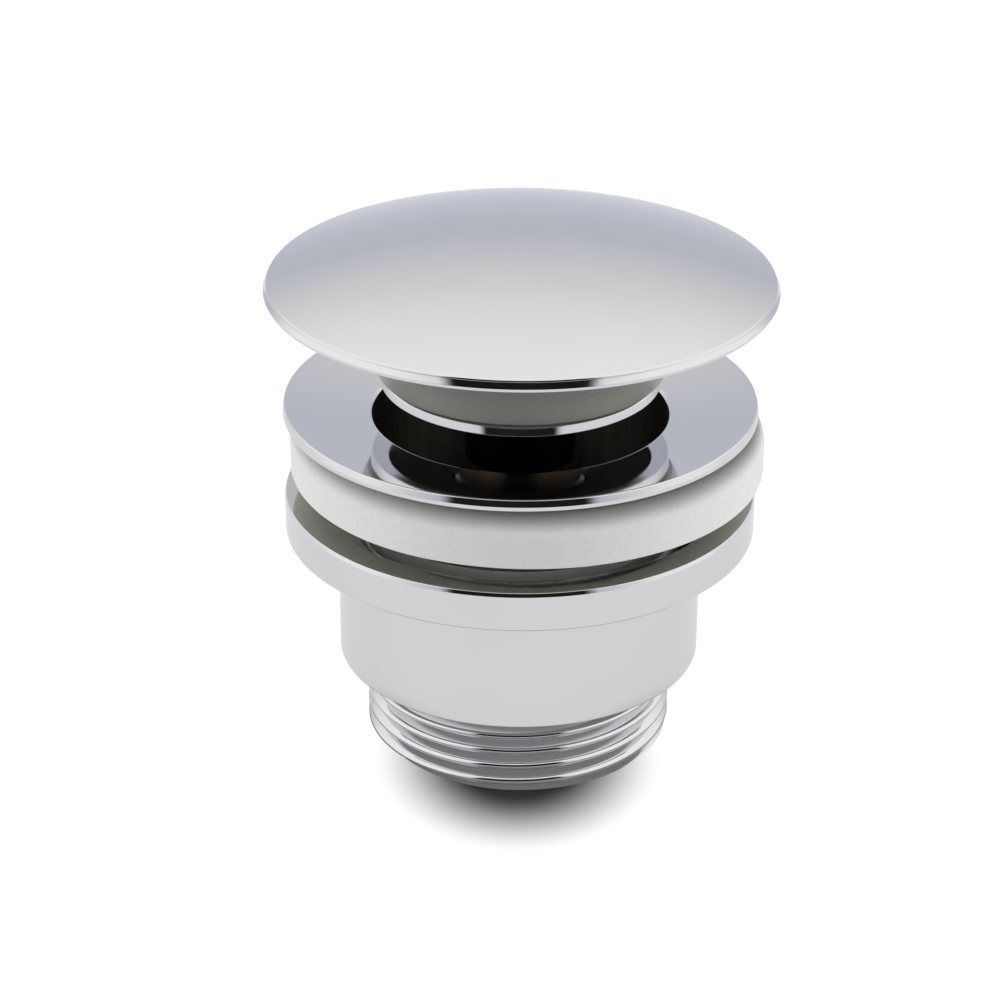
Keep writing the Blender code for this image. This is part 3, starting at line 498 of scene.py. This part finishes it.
plate = chrome_plate("chrome_plate")
inner_plate = thin_plate("thin_inner_plate")
bore_shade_paint = painted_bore_shade("painted_bore_shade")
rim_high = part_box("lower_body")[1]
RIM_RADIUS = rim_high.x
RIM_TOP = rim_high.z
RIM_HEIGHT = 5.4 * MM
EDGE_BREAK = 0.55 * MM
SEAT_RING = 3.6 * MM
SEAT_STEP = 0.8 * MM
SHELL_RADIUS = 24.755 * MM
SHELL_LOW = 12.4 * MM
TAIL_CREST = 20.955 * MM
TAIL_ROOT = 19.476 * MM
TAIL_PITCH = 2.309 * MM
TAIL_LEAD_IN = 0.7 * MM
TAIL_GROOVE_END = 11.2 * MM
TAIL_GROOVE_START = 0.52
TAIL_BORE = 17.405 * MM
TAIL_BORE_BREAK = 0.4 * MM
RELIEF_RADIUS = 19.376 * MM
RELIEF_HEIGHT = 1.9 * MM
SOCKET_RADIUS = 22.055 * MM
SOCKET_FLOOR = 14.6 * MM
POCKET_RADIUS = 24.155 * MM
POCKET_DEPTH = 2.9 * MM
seat_floor = RIM_TOP - SEAT_STEP
pocket_floor = seat_floor - POCKET_DEPTH
lower_body = turning("lower_body_turning", [
    (TAIL_BORE + TAIL_BORE_BREAK, 0.0, 0.1 * MM),
    (TAIL_CREST - TAIL_LEAD_IN, 0.0, 0.1 * MM),
    (TAIL_CREST, TAIL_LEAD_IN, 0.1 * MM),
    (TAIL_CREST, SHELL_LOW - RELIEF_HEIGHT, 0.12 * MM),
    (RELIEF_RADIUS, SHELL_LOW - RELIEF_HEIGHT, 0.25 * MM),
    (RELIEF_RADIUS, SHELL_LOW, 0.25 * MM),
    (SHELL_RADIUS, SHELL_LOW, 0.2 * MM),
    (SHELL_RADIUS, RIM_TOP - RIM_HEIGHT, 0.3 * MM),
    (RIM_RADIUS, RIM_TOP - RIM_HEIGHT, 0.25 * MM),
    (RIM_RADIUS, RIM_TOP - EDGE_BREAK, 0.4 * MM),
    (RIM_RADIUS - 0.3 * EDGE_BREAK, RIM_TOP, 0.12 * MM),
    (RIM_RADIUS - SEAT_RING, RIM_TOP, 0.15 * MM),
    (RIM_RADIUS - SEAT_RING, seat_floor, 0.15 * MM),
    (POCKET_RADIUS, seat_floor, 0.12 * MM),
    (POCKET_RADIUS, pocket_floor, 0.1 * MM),
    (SOCKET_RADIUS, pocket_floor, 0.1 * MM),
    (SOCKET_RADIUS, SOCKET_FLOOR, 0.3 * MM),
    (TAIL_BORE, SOCKET_FLOOR, 0.3 * MM),
    (TAIL_BORE, TAIL_BORE_BREAK, 0.1 * MM),
], plate)
tail_groove = groove(
    "tail_groove", TAIL_CREST, TAIL_ROOT, TAIL_PITCH, -TAIL_PITCH, TAIL_GROOVE_END, TAIL_GROOVE_START
)
machine(lower_body, tail_groove, "DIFFERENCE")
seat_edge = RIM_RADIUS - 0.8 * MM
faced(lower_body, inner_plate, lambda radius, height: radius < seat_edge and height > pocket_floor)
socket_edge = SOCKET_RADIUS + 0.1 * MM
# Painted shade: the socket and bore inside the shell get the near-black bore finish.
faced(lower_body, bore_shade_paint, lambda radius, height: radius < socket_edge and height > SHELL_LOW + MM)
polished(lower_body)
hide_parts("lower_body")
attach(lower_body, "lower")


# Thread seal: a flat ring of black rubber, pressed into the pocket round the socket in the rim. It keeps
# water from the barrel's thread.
def black_rubber(name):
    """Moulded rubber: matt, with a fine grain and the mould powder still on it."""
    material, shader, shading, place = finish(name, (0.025, 0.025, 0.026), 0.55, 0.0)
    grain = shading.clouds(place, 2600.0)
    powder = shading.clouds(place, 190.0, 3.0)
    dusty = shading.mix(powder.rise(0.3, 0.8), (0.08, 0.08, 0.08, 1.0), (0.16, 0.16, 0.155, 1.0))
    cover(shader, shading, dusty, 0.48 + 0.2 * powder, grain, 20.0 * MICRON)
    return material


seal_rubber = black_rubber("seal_rubber")


def flat_ring(node, body, inner, material, edge=0.15 * MM):
    """A washer-like piece in the place of a CAD node, with its edges broken."""
    low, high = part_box(node)
    ring = turning(node + "_ring", [
        (inner, low.z, edge), (high.x, low.z, edge), (high.x, high.z, edge), (inner, high.z, edge),
    ], material, SMALL_FACETS)
    polished(ring)
    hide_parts(node)
    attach(ring, body)


flat_ring("thread_seal", "lower", SOCKET_RADIUS, seal_rubber, 0.3 * MM)


# Foam washer: a thick ring cut from white closed-cell foam. Its hole is wider than the collar, so it lies
# a little to one side. The flange presses its upper edge round, which makes its uneven cut wall bulge.
foam_low, foam_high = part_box("foam_washer")
FOAM_BORE = 23.305 * MM
FOAM_SQUEEZE = 1.4 * MM
FOAM_SQUEEZED_HEIGHT = 2.8 * MM
FOAM_BULGE = 0.6 * MM
# Waves of the cut wall: height in millimetres and fineness. The wall lies inside its outline by the last.
FOAM_WAVES = ((0.10, 0.055), (0.04, 0.4))
FOAM_CUT_INSIDE = 0.07
FOAM_CUTS = 7


def cut_foam(name):
    """Fine closed cells, not quite white, with painted shade that greys the wall towards the top, below the
    flange's edge.
    """
    material, shader, shading, place = finish(name, (0.86, 0.86, 0.85), 0.85, 0.0)
    shader.inputs["Subsurface Weight"].default_value = 0.15
    shader.inputs["Subsurface Radius"].default_value = (1.0, 0.95, 0.9)
    shader.inputs["Subsurface Scale"].default_value = 0.6 * MM
    shader.inputs["Specular IOR Level"].default_value = 0.25
    cells = shading.cells(place, 3000.0)
    patches = shading.clouds(place, 1500.0, 3.0)
    shade = shading.mix(0.4 * patches + 0.35 * cells, (0.86, 0.86, 0.85, 1.0), (0.70, 0.70, 0.69, 1.0))
    height = shading.along("Z", place)
    # Painted shade: the foam's colour darkens towards the top, where the flange overhangs it.
    painted_flange_shade = height.rise(foam_high.z - FOAM_SQUEEZED_HEIGHT, foam_high.z - 0.4 * MM)
    tint = shading.mix(painted_flange_shade, shade, (0.28, 0.28, 0.275, 1.0))
    cover(shader, shading, tint, 0.78 + 0.15 * patches, 0.5 * cells + patches, 70.0 * MICRON)
    return material


foam_shift = 0.5 * (foam_low.x + foam_high.x)
foam_radius = 0.5 * (foam_high.x - foam_low.x) + FOAM_BULGE
FLANGE_SLOPE = 0.14876
foam_inner_top = foam_high.z - FLANGE_SLOPE * (foam_radius - FOAM_BORE)
foam_outline = rounded([
    (FOAM_BORE, foam_low.z, 0.3 * MM),
    (foam_radius, foam_low.z, 0.2 * MM),
    (foam_radius, foam_high.z - FOAM_SQUEEZED_HEIGHT, 3.0 * MM),
    (foam_radius - FOAM_SQUEEZE, foam_high.z - 0.1 * MM, 1.0 * MM),
    (FOAM_BORE, foam_inner_top, 0.3 * MM),
])
foam_build = spun(foam_outline, FINE_FACETS)
long_sides = [edge for edge in foam_build.edges if edge.calc_length() > 3.0 * MM]
bmesh.ops.subdivide_edges(foam_build, edges=long_sides, cuts=FOAM_CUTS, use_grid_fill=True)
for vert in foam_build.verts:
    waves = [height * noise.noise(vert.co / MM * fineness) for height, fineness in FOAM_WAVES]
    outwards = Vector((vert.co.x, vert.co.y, 0.0)).normalized()
    vert.co += outwards * (sum(waves) - FOAM_CUT_INSIDE) * MM
bmesh.ops.translate(foam_build, vec=(foam_shift, 0.0, 0.0), verts=foam_build.verts)
foam_washer = piece("foam_washer_ring", foam_build, cut_foam("white_foam"))
polished(foam_washer)
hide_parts("foam_washer")
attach(foam_washer, "washer")

# Upper body: a brass casting, turned and chromed: dished flange, straight bore, collar and the barrel
# with its fine male thread. A cross of four thin arms in the bore carries the cartridge.
upper_low, upper_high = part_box("upper_body")
FLANGE_RADIUS = upper_high.x
BORE = 19.755 * MM
COLLAR = 22.005 * MM
COLLAR_LOW = 40.0 * MM
BARREL = 21.755 * MM
BARREL_ROOT = 20.835 * MM
BARREL_PITCH = 1.5 * MM
BARREL_GROOVE_END = 34.0 * MM
BARREL_GROOVE_START = 0.1
BORE_EDGE = 47.2 * MM
FLANGE_TOP = 49.3 * MM
FLANGE_LOW = 47.75 * MM
FLANGE_DISH = 1.8 * MM
FLANGE_BREAK = 0.95 * MM
BARREL_LEAD_IN = 0.8 * MM
collar_top = FLANGE_LOW - FLANGE_SLOPE * (FLANGE_RADIUS - COLLAR)
upper_body = turning("upper_body_casting", [
    (BORE, FLANGE_TOP - FLANGE_DISH, 0.8 * MM),
    (FLANGE_RADIUS - 0.25 * FLANGE_BREAK, FLANGE_TOP, 0.2 * MM),
    (FLANGE_RADIUS, FLANGE_TOP - FLANGE_BREAK, 0.4 * MM),
    (FLANGE_RADIUS, FLANGE_LOW, 0.3 * MM),
    (COLLAR, collar_top, 0.2 * MM),
    (COLLAR, COLLAR_LOW, 0.1 * MM),
    (BARREL, COLLAR_LOW, 0.05 * MM),
    (BARREL, upper_low.z + BARREL_LEAD_IN, 0.05 * MM),
    (BARREL - BARREL_LEAD_IN, upper_low.z, 0.1 * MM),
    (BORE, upper_low.z, 0.25 * MM),
], plate)
HUB_RADIUS = 9.6 * MM
HUB_BORE = 6.8 * MM
CROSS_LOW = 26.2 * MM
CROSS_HIGH = 32.2 * MM
ARM_WIDTH = 2.6 * MM
ARM_ROUNDING = 0.8 * MM
cross_middle = 0.5 * (CROSS_LOW + CROSS_HIGH)
arm_length = BORE + BARREL
for arm_angle in (0.0, 0.5 * math.pi):
    arm_build = bmesh.new()
    bmesh.ops.create_cube(arm_build, size=1.0)
    bmesh.ops.scale(arm_build, vec=(arm_length, ARM_WIDTH, CROSS_HIGH - CROSS_LOW), verts=arm_build.verts)
    long_edges = [edge for edge in arm_build.edges if edge.calc_length() > 0.9 * arm_length]
    bmesh.ops.bevel(
        arm_build, geom=long_edges, offset=ARM_ROUNDING, segments=4, profile=0.5, affect="EDGES", material=-1
    )
    arm_place = Matrix.Translation((0.0, 0.0, cross_middle)) @ Matrix.Rotation(arm_angle, 4, "Z")
    bmesh.ops.transform(arm_build, matrix=arm_place, verts=arm_build.verts)
    machine(upper_body, piece("cross_arm", arm_build), "UNION")
hub = turning("cross_hub", [
    (0.0, CROSS_LOW, 0.0),
    (HUB_RADIUS, CROSS_LOW, 0.4 * MM),
    (HUB_RADIUS, CROSS_HIGH, 0.4 * MM),
    (0.0, CROSS_HIGH, 0.0),
], facets=SMALL_FACETS)
machine(upper_body, hub, "UNION")


def drill(name, radius, low, high):
    """A drill the size of a bore on the axis."""
    corners = [(0.0, low, 0.0), (radius, low, 0.0), (radius, high, 0.0), (0.0, high, 0.0)]
    return turning(name, corners, facets=SMALL_FACETS)


machine(upper_body, drill("hub_drill", HUB_BORE, CROSS_LOW - MM, CROSS_HIGH + MM), "DIFFERENCE")
barrel_groove = groove(
    "barrel_groove", BARREL, BARREL_ROOT, BARREL_PITCH, upper_low.z - BARREL_PITCH,
    BARREL_GROOVE_END, BARREL_GROOVE_START, SMALL_FACETS,
)
machine(upper_body, barrel_groove, "DIFFERENCE")
bore_limit = BORE + 0.1 * MM
# Painted shade: the bore below its polished mouth gets the near-black bore finish.
faced(upper_body, bore_shade_paint, lambda radius, height: radius < bore_limit and height < BORE_EDGE)
polished(upper_body)
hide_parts("upper_body")
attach(upper_body, "upper")

# Cartridge: a chromed sleeve whose ledge rests on the cross. A steel pin through its wall runs in the
# drum's track.
SLEEVE_RADIUS = 6.5 * MM
SLEEVE_BORE = 5.2 * MM
LEDGE_LOW = 32.5 * MM
LEDGE_HIGH = 34.1 * MM
BUSH_SEAT = 5.8 * MM
BUSH_FLOOR = 36.9 * MM
sleeve_low, sleeve_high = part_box("cartridge_body")
cartridge = turning("cartridge_sleeve", [
    (SLEEVE_BORE, sleeve_low.z, 0.1 * MM),
    (SLEEVE_RADIUS, sleeve_low.z, 0.35 * MM),
    (SLEEVE_RADIUS, LEDGE_LOW, 0.1 * MM),
    (sleeve_high.x, LEDGE_LOW, 0.2 * MM),
    (sleeve_high.x, LEDGE_HIGH, 0.4 * MM),
    (SLEEVE_RADIUS, LEDGE_HIGH, 0.1 * MM),
    (SLEEVE_RADIUS, sleeve_high.z, 0.2 * MM),
    (BUSH_SEAT, sleeve_high.z, 0.1 * MM),
    (BUSH_SEAT, BUSH_FLOOR, 0.1 * MM),
    (SLEEVE_BORE, BUSH_FLOOR, 0.1 * MM),
], plate, SMALL_FACETS)
PIN_ANGLE = math.radians(45.0)
PIN_HEIGHT = 26.4 * MM
PIN_RADIUS = 0.8 * MM
PIN_PLAY = 0.3 * MM
PIN_INNER = 4.0 * MM
PIN_OUTER = 6.4 * MM
PIN_EDGE = 0.15 * MM


def cross_pin(name, radius, inner, outer, material=None, edge=0.0):
    """A round bar that lies across the sleeve's wall at the pin's place."""
    build = bmesh.new()
    place = Matrix.Rotation(PIN_ANGLE, 4, "Z") @ Matrix.Translation((0.5 * (inner + outer), 0.0, PIN_HEIGHT))
    bmesh.ops.create_cone(
        build, cap_ends=True, segments=32, radius1=radius, radius2=radius, depth=outer - inner,
        matrix=place @ Matrix.Rotation(0.5 * math.pi, 4, "Y"),
    )
    if edge > 0.0:
        rims = [side for side in build.edges if any(len(face.verts) > 4 for face in side.link_faces)]
        bmesh.ops.bevel(build, geom=rims, offset=edge, segments=3, profile=0.5, affect="EDGES", material=-1)
    return piece(name, build, material)


pin_drill = cross_pin("pin_drill", PIN_RADIUS + PIN_PLAY, 0.5 * SLEEVE_BORE, 1.5 * SLEEVE_RADIUS)
machine(cartridge, pin_drill, "DIFFERENCE")
polished(cartridge)
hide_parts("cartridge_body")
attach(cartridge, "upper")


def bright_steel(name):
    """Cold-drawn stainless steel with its fine drawing marks."""
    material, shader, shading, place = finish(name, (0.58, 0.58, 0.57), 0.24, 1.0)
    marks = shading.clouds(place, 1500.0, 3.0)
    tint = shading.mix(marks, (0.52, 0.52, 0.515, 1.0), (0.63, 0.63, 0.62, 1.0))
    cover(shader, shading, tint, 0.18 + 0.14 * marks, marks, 3.0 * MICRON)
    return material


steel = bright_steel("bright_steel")
follower_pin = cross_pin("track_pin", PIN_RADIUS, PIN_INNER, PIN_OUTER, steel, PIN_EDGE)
polished(follower_pin)
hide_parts("follower_pin")
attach(follower_pin, "upper")


# Cartridge fittings: the acetal bush that guides the spindle, the O-ring under it, and the brass plug
# with a drain hole that closes the sleeve's lower end.
def natural_acetal(name):
    """Moulded plastic, waxy and slightly see-through, with faint flow marks."""
    material, shader, shading, place = finish(name, (0.78, 0.77, 0.73), 0.4, 0.0)
    shader.inputs["Subsurface Weight"].default_value = 0.25
    shader.inputs["Subsurface Scale"].default_value = 1.0 * MM
    flow = shading.clouds(place, 420.0, 3.0)
    tint = shading.mix(flow, (0.74, 0.73, 0.69, 1.0), (0.81, 0.80, 0.77, 1.0))
    cover(shader, shading, tint, 0.33 + 0.15 * flow, flow, 8.0 * MICRON)
    return material


RINGS_SCALE = 9000.0


def turned_brass(name, fresh, aged):
    """Bare brass with the lathe's fine rings, darkened in places with age."""
    material, shader, shading, place = finish(name, fresh, 0.26, 1.0)
    radius = shading.length(shading.scaled(place, (1.0, 1.0, 0.0)))
    height = shading.along("Z", place)
    on_lathe = shading.node("ShaderNodeCombineXYZ", {}, {0: radius * RINGS_SCALE, 1: height * RINGS_SCALE})
    rings = shading.clouds(on_lathe, 1.0, 1.0)
    tarnish = shading.clouds(place, 230.0, 4.0)
    tint = shading.mix(tarnish.rise(0.4, 0.75), (*fresh, 1.0), (*aged, 1.0))
    cover(shader, shading, tint, 0.20 + 0.12 * rings + 0.12 * tarnish, rings, 4.0 * MICRON)
    return material


acetal = natural_acetal("natural_acetal")
brass = turned_brass("turned_brass", (0.72, 0.56, 0.30), (0.55, 0.38, 0.18))
# Painted shade: brass coloured near black, for the boss that stands in the dark of the bore.
painted_shade_brass = turned_brass("painted_shade_brass", (0.070, 0.052, 0.036), (0.045, 0.034, 0.026))
BUSH_BORE = 4.3 * MM
WIRE_FACETS = 20
flat_ring("guide_bush", "upper", BUSH_BORE, acetal, 0.25 * MM)
wire_low, wire_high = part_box("spindle_seal")
wire = 0.5 * (wire_high.x - BUSH_BORE)
wire_height = 0.5 * (wire_low.z + wire_high.z)
wire_outline = []
for step in range(WIRE_FACETS):
    turn = math.tau * step / WIRE_FACETS
    wire_outline.append((BUSH_BORE + wire + wire * math.cos(turn), wire_height + wire * math.sin(turn)))
spindle_seal = piece("spindle_o_ring", spun(wire_outline, SMALL_FACETS), seal_rubber)
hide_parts("spindle_seal")
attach(spindle_seal, "upper")
DRAIN_HOLE = 1.5 * MM
flat_ring("end_plug", "upper", DRAIN_HOLE, brass)

# Lock nut and washer: a thin hexagon nut in brass and a steel washer under it, screwed on the sleeve
# against the cross.
flat_ring("lock_washer", "upper", HUB_BORE, steel)
nut_low, nut_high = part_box("lock_nut")
NUT_CORNER = 9.7 * MM
NUT_FLAT = 8.4 * MM
CORNER_DROP = 0.65 * MM
nut_build = bmesh.new()
bmesh.ops.create_cone(
    nut_build, cap_ends=True, segments=6, radius1=NUT_CORNER, radius2=NUT_CORNER,
    depth=nut_high.z - nut_low.z, matrix=Matrix.Translation((0.0, 0.0, 0.5 * (nut_low.z + nut_high.z))),
)
lock_nut = piece("cross_nut", nut_build, brass)
nut_cones = turning("nut_cones", [
    (0.0, nut_low.z - CORNER_DROP, 0.0),
    (NUT_FLAT - CORNER_DROP, nut_low.z - CORNER_DROP, 0.0),
    (NUT_CORNER + CORNER_DROP, nut_low.z + CORNER_DROP, 0.0),
    (NUT_CORNER + CORNER_DROP, nut_high.z - CORNER_DROP, 0.0),
    (NUT_FLAT - CORNER_DROP, nut_high.z + CORNER_DROP, 0.0),
    (0.0, nut_high.z + CORNER_DROP, 0.0),
], facets=SMALL_FACETS)
machine(lock_nut, nut_cones, "INTERSECT")
machine(lock_nut, drill("nut_drill", HUB_BORE, nut_low.z - MM, nut_high.z + MM), "DIFFERENCE")
polished(lock_nut)
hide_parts("lock_nut")
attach(lock_nut, "upper")

# Return spring: stainless wire wound in five and a half turns, with a closed coil at each end. It stands
# on the end plug and shortens as the cap is pressed.
spring_low, spring_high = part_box("return_spring")
WIRE_RADIUS = 0.45 * MM
COIL_RADIUS = 4.0 * MM
COILS = 5.5
CLOSED_RISE = 1.0 * MM
POINTS_PER_COIL = 40
spring_length = spring_high.z - spring_low.z
open_rise = (spring_length - 2.0 * WIRE_RADIUS - 2.0 * CLOSED_RISE) / (COILS - 2.0)
spring_curve = bpy.data.curves.new("cap_spring", "CURVE")
spring_curve.dimensions = "3D"
spring_curve.bevel_depth = WIRE_RADIUS
spring_curve.bevel_resolution = 3
spring_curve.use_fill_caps = True
spring_line = spring_curve.splines.new("POLY")
spring_line.points.add(int(COILS * POINTS_PER_COIL))
for index, point in enumerate(spring_line.points):
    wound = index / POINTS_PER_COIL
    closed = min(wound, 1.0) + max(wound - (COILS - 1.0), 0.0)
    rise = CLOSED_RISE * closed + open_rise * (wound - closed)
    turn = math.tau * wound
    height = spring_low.z + WIRE_RADIUS + rise
    point.co = (COIL_RADIUS * math.cos(turn), COIL_RADIUS * math.sin(turn), height, 1.0)
spring_guide = bpy.data.objects.new("cap_spring_line", spring_curve)
bpy.context.scene.collection.objects.link(spring_guide)
bpy.context.view_layer.update()
wound_line = spring_guide.evaluated_get(bpy.context.evaluated_depsgraph_get())
spring_build = bmesh.new()
spring_build.from_mesh(bpy.data.meshes.new_from_object(wound_line))
bpy.data.objects.remove(spring_guide)
return_spring = piece("cap_spring", spring_build, steel)
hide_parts("return_spring")
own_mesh(return_spring)
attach(return_spring, "upper")

# Spring cup and index drum: moulded in acetal. The drum with its zigzag track turns on the spindle's
# shank between the shoulder and the cup, and a steel clip holds both.
SHANK_BORE = 2.7 * MM
CLIP_BORE = 2.0 * MM
flat_ring("spring_cup", "carrier", SHANK_BORE, acetal)
index_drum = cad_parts["index_drum"]
index_drum.material_slots[0].material = acetal
flat_ring("drum_clip", "plunger", CLIP_BORE, steel, 0.1 * MM)

# Spindle: a chromed brass rod, guided in the sleeve, with a thin shank for the drum and a stud for the cap.
# The clip snaps into a groove near the shank's lower end.
ROD = 4.0 * MM
SHANK = 2.4 * MM
STUD = 2.9 * MM
SHOULDER = 35.8 * MM
ROD_TOP = 51.6 * MM
CLIP_GROOVE_LOW = 21.85 * MM
CLIP_GROOVE_HIGH = 22.75 * MM
CLIP_GROOVE_FLOOR = 1.9 * MM
rod_low, rod_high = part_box("spindle")
spindle = turning("cap_spindle", [
    (0.0, rod_low.z, 0.0),
    (SHANK, rod_low.z, 0.35 * MM),
    (SHANK, CLIP_GROOVE_LOW, 0.0),
    (CLIP_GROOVE_FLOOR, CLIP_GROOVE_LOW, 0.0),
    (CLIP_GROOVE_FLOOR, CLIP_GROOVE_HIGH, 0.0),
    (SHANK, CLIP_GROOVE_HIGH, 0.0),
    (SHANK, SHOULDER, 0.2 * MM),
    (ROD, SHOULDER, 0.35 * MM),
    (ROD, ROD_TOP, 0.35 * MM),
    (STUD, ROD_TOP, 0.15 * MM),
    (STUD, rod_high.z, 0.35 * MM),
    (0.0, rod_high.z, 0.0),
], plate, SMALL_FACETS)
polished(spindle)
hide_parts("spindle")
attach(spindle, "plunger")

# Cap: a shallow dome pressed from brass sheet, polished and chromed. Its rim is rolled to a small bead
# that stands a little proud of the dome's edge.
cap_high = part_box("cap_dome")[1]
CAP_SHEET = 1.6 * MM
CAP_RISE = 7.0 * MM
DOME_STEPS = 24
BEAD = 0.4 * MM
RIM_UNDER = 0.9 * MM
roll = 0.5 * CAP_SHEET
rim_middle = cap_high.z - CAP_RISE
dome_edge = cap_high.x - roll
dome_drop = CAP_RISE - roll
dome_sphere = (dome_edge ** 2 + dome_drop ** 2) / (2.0 * dome_drop)


def dome(radius):
    """Height of the dome's outside."""
    return cap_high.z - dome_sphere + math.sqrt(dome_sphere ** 2 - radius ** 2)


cap_outline = []
for step in range(DOME_STEPS):
    outer_radius = dome_edge * step / DOME_STEPS
    cap_outline.append((outer_radius, dome(outer_radius)))
bead_top = cap_high.x - BEAD
rim_low = rim_middle - RIM_UNDER
rolled_rim = rounded([
    (dome_edge, dome(dome_edge), 0.0),
    (bead_top, dome(bead_top), 0.35 * MM),
    (bead_top + 0.02 * MM, rim_middle + 0.3 * MM, 0.0),
    (cap_high.x, rim_middle - BEAD, 0.12 * MM),
    (cap_high.x - 0.25 * MM, rim_low, 0.15 * MM),
    (dome_edge - 0.1 * MM, rim_low, 0.3 * MM),
    (dome_edge - roll, dome(dome_edge - roll) - CAP_SHEET, 0.0),
])
cap_outline += rolled_rim[:-1]
for step in range(DOME_STEPS, -1, -1):
    under_radius = (dome_edge - roll) * step / DOME_STEPS
    cap_outline.append((under_radius, dome(under_radius) - CAP_SHEET))
cap = piece("cap_shell", spun(cap_outline, FINE_FACETS), plate)
polished(cap)
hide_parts("cap_dome")
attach(cap, "plunger")

# Boss: turned brass, brazed under the dome, its colour painted near black as shade. It takes the spindle's
# stud and the ring nut, and its long bell hides the cartridge's sleeve; the bell's wall shows in the dark of
# the bore.
boss_low, boss_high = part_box("cap_boss")
STUD_HOLE = 3.2 * MM
STUD_HOLE_TOP = 57.9 * MM
BELL_BORE = 6.8 * MM
BELL = 7.5 * MM
BOSS = 8.0 * MM
BOSS_FACE = 51.9 * MM
BOSS_SHOULDER = 55.5 * MM
BRAZED_GAP = 0.3 * MM
shoulder_radius = boss_high.x
brazed_radii = (shoulder_radius, 0.5 * shoulder_radius, 0.0)
brazed_top = [(radius, dome(radius) - CAP_SHEET - BRAZED_GAP) for radius in brazed_radii]
cap_boss = turning("cap_boss_and_bell", [
    (STUD_HOLE, BOSS_FACE, 0.25 * MM),
    (BELL_BORE, BOSS_FACE, 0.1 * MM),
    (BELL_BORE, boss_low.z, 0.1 * MM),
    (BELL, boss_low.z, 0.2 * MM),
    (BELL, BOSS_FACE, 0.1 * MM),
    (BOSS, BOSS_FACE, 0.15 * MM),
    (BOSS, BOSS_SHOULDER, 0.1 * MM),
    (shoulder_radius, BOSS_SHOULDER, 0.25 * MM),
    (*brazed_top[0], 0.2 * MM),
    (*brazed_top[1], 0.0),
    (*brazed_top[2], 0.0),
    (0.0, STUD_HOLE_TOP, 0.0),
    (STUD_HOLE, STUD_HOLE_TOP, 0.1 * MM),
], painted_shade_brass, SMALL_FACETS)
polished(cap_boss)
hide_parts("cap_boss")
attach(cap_boss, "plunger")


# Conical seal: grey silicone, moulded in one, satin and slightly see-through. Its base is held between
# the boss and the ring nut, and its wall flares up to the dome.
seal_low, seal_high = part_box("plug_seal")


def grey_silicone(name):
    """Soft moulded silicone: satin, clouded, with painted shade that darkens it towards the dome and lightens
    it towards its base, and the finest dust on it.
    """
    material, shader, shading, place = finish(name, (0.24, 0.23, 0.21), 0.3, 0.0)
    shader.inputs["Subsurface Weight"].default_value = 0.4
    shader.inputs["Subsurface Radius"].default_value = (1.0, 0.9, 0.75)
    shader.inputs["Subsurface Scale"].default_value = 0.8 * MM
    shader.inputs["Specular IOR Level"].default_value = 0.8
    # Painted shade and light: near black under the dome's rim, lighter down towards the base.
    painted_light_to_base = shading.along("Z", place).rise(seal_high.z - 1.0 * MM, seal_low.z)
    cloud = shading.clouds(place, 130.0, 3.0)
    dust = shading.clouds(place, 2200.0)
    shade = shading.mix(0.9 * painted_light_to_base + 0.1 * cloud, (0.03, 0.03, 0.03, 1.0), (0.40, 0.385, 0.35, 1.0))
    cover(shader, shading, shade, 0.24 + 0.07 * cloud + 0.02 * dust, dust, 3.0 * MICRON)
    return material


SEAL_BASE = 19.205 * MM
SEAL_FLARE = 3.7 * MM
SEAL_BOW = 0.55 * MM
SEAL_WALL = 1.5 * MM
SEAL_BORE = 8.3 * MM
SEAL_STEPS = 20
seal_wall_outside = []
for step in range(1, SEAL_STEPS + 1):
    share = step / SEAL_STEPS
    flare = SEAL_FLARE * share + 4.0 * SEAL_BOW * share * (1.0 - share)
    seal_wall_outside.append((SEAL_BASE + flare, seal_low.z + (seal_high.z - seal_low.z) * share))
seal_floor = seal_low.z + SEAL_WALL
seal_outline = [
    (SEAL_BORE, seal_low.z),
    (SEAL_BASE - 0.35 * MM, seal_low.z),
    (SEAL_BASE - 0.08 * MM, seal_low.z + 0.1 * MM),
    *seal_wall_outside,
    *[(radius - SEAL_WALL, height) for radius, height in reversed(seal_wall_outside[1:])],
    (SEAL_BASE - SEAL_WALL, seal_floor),
    (SEAL_BORE, seal_floor),
]
plug_seal = piece("cone_seal", spun(seal_outline, FINE_FACETS), grey_silicone("grey_silicone"))
polished(plug_seal)
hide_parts("plug_seal")
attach(plug_seal, "plunger")

# Ring nut: a thin chromed brass ring that is screwed on the boss from below and clamps the seal. Its
# underside is recessed, and the recess is left unpolished, its colour painted near black as shade.
nut_ring_low, nut_ring_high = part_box("ring_nut")
RECESS_RADIUS = 16.5 * MM
RECESS = 0.2 * MM
RING_BREAK = 0.25 * MM
ring_nut = turning("seal_ring_nut", [
    (SEAL_BORE, nut_ring_low.z + RECESS, 0.1 * MM),
    (RECESS_RADIUS, nut_ring_low.z + RECESS, 0.05 * MM),
    (RECESS_RADIUS, nut_ring_low.z, 0.05 * MM),
    (nut_ring_high.x, nut_ring_low.z, 0.15 * MM),
    (nut_ring_high.x, nut_ring_high.z - RING_BREAK, 0.15 * MM),
    (nut_ring_high.x - RING_BREAK, nut_ring_high.z, 0.1 * MM),
    (SEAL_BORE, nut_ring_high.z, 0.1 * MM),
], plate, FINE_FACETS)
recess_top = nut_ring_low.z + 1.5 * RECESS
# Painted shade: the recessed underside gets the near-black bore finish.
faced(ring_nut, bore_shade_paint, lambda radius, height: radius < RECESS_RADIUS and height < recess_top)
polished(ring_nut)
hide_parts("ring_nut")
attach(ring_nut, "plunger")
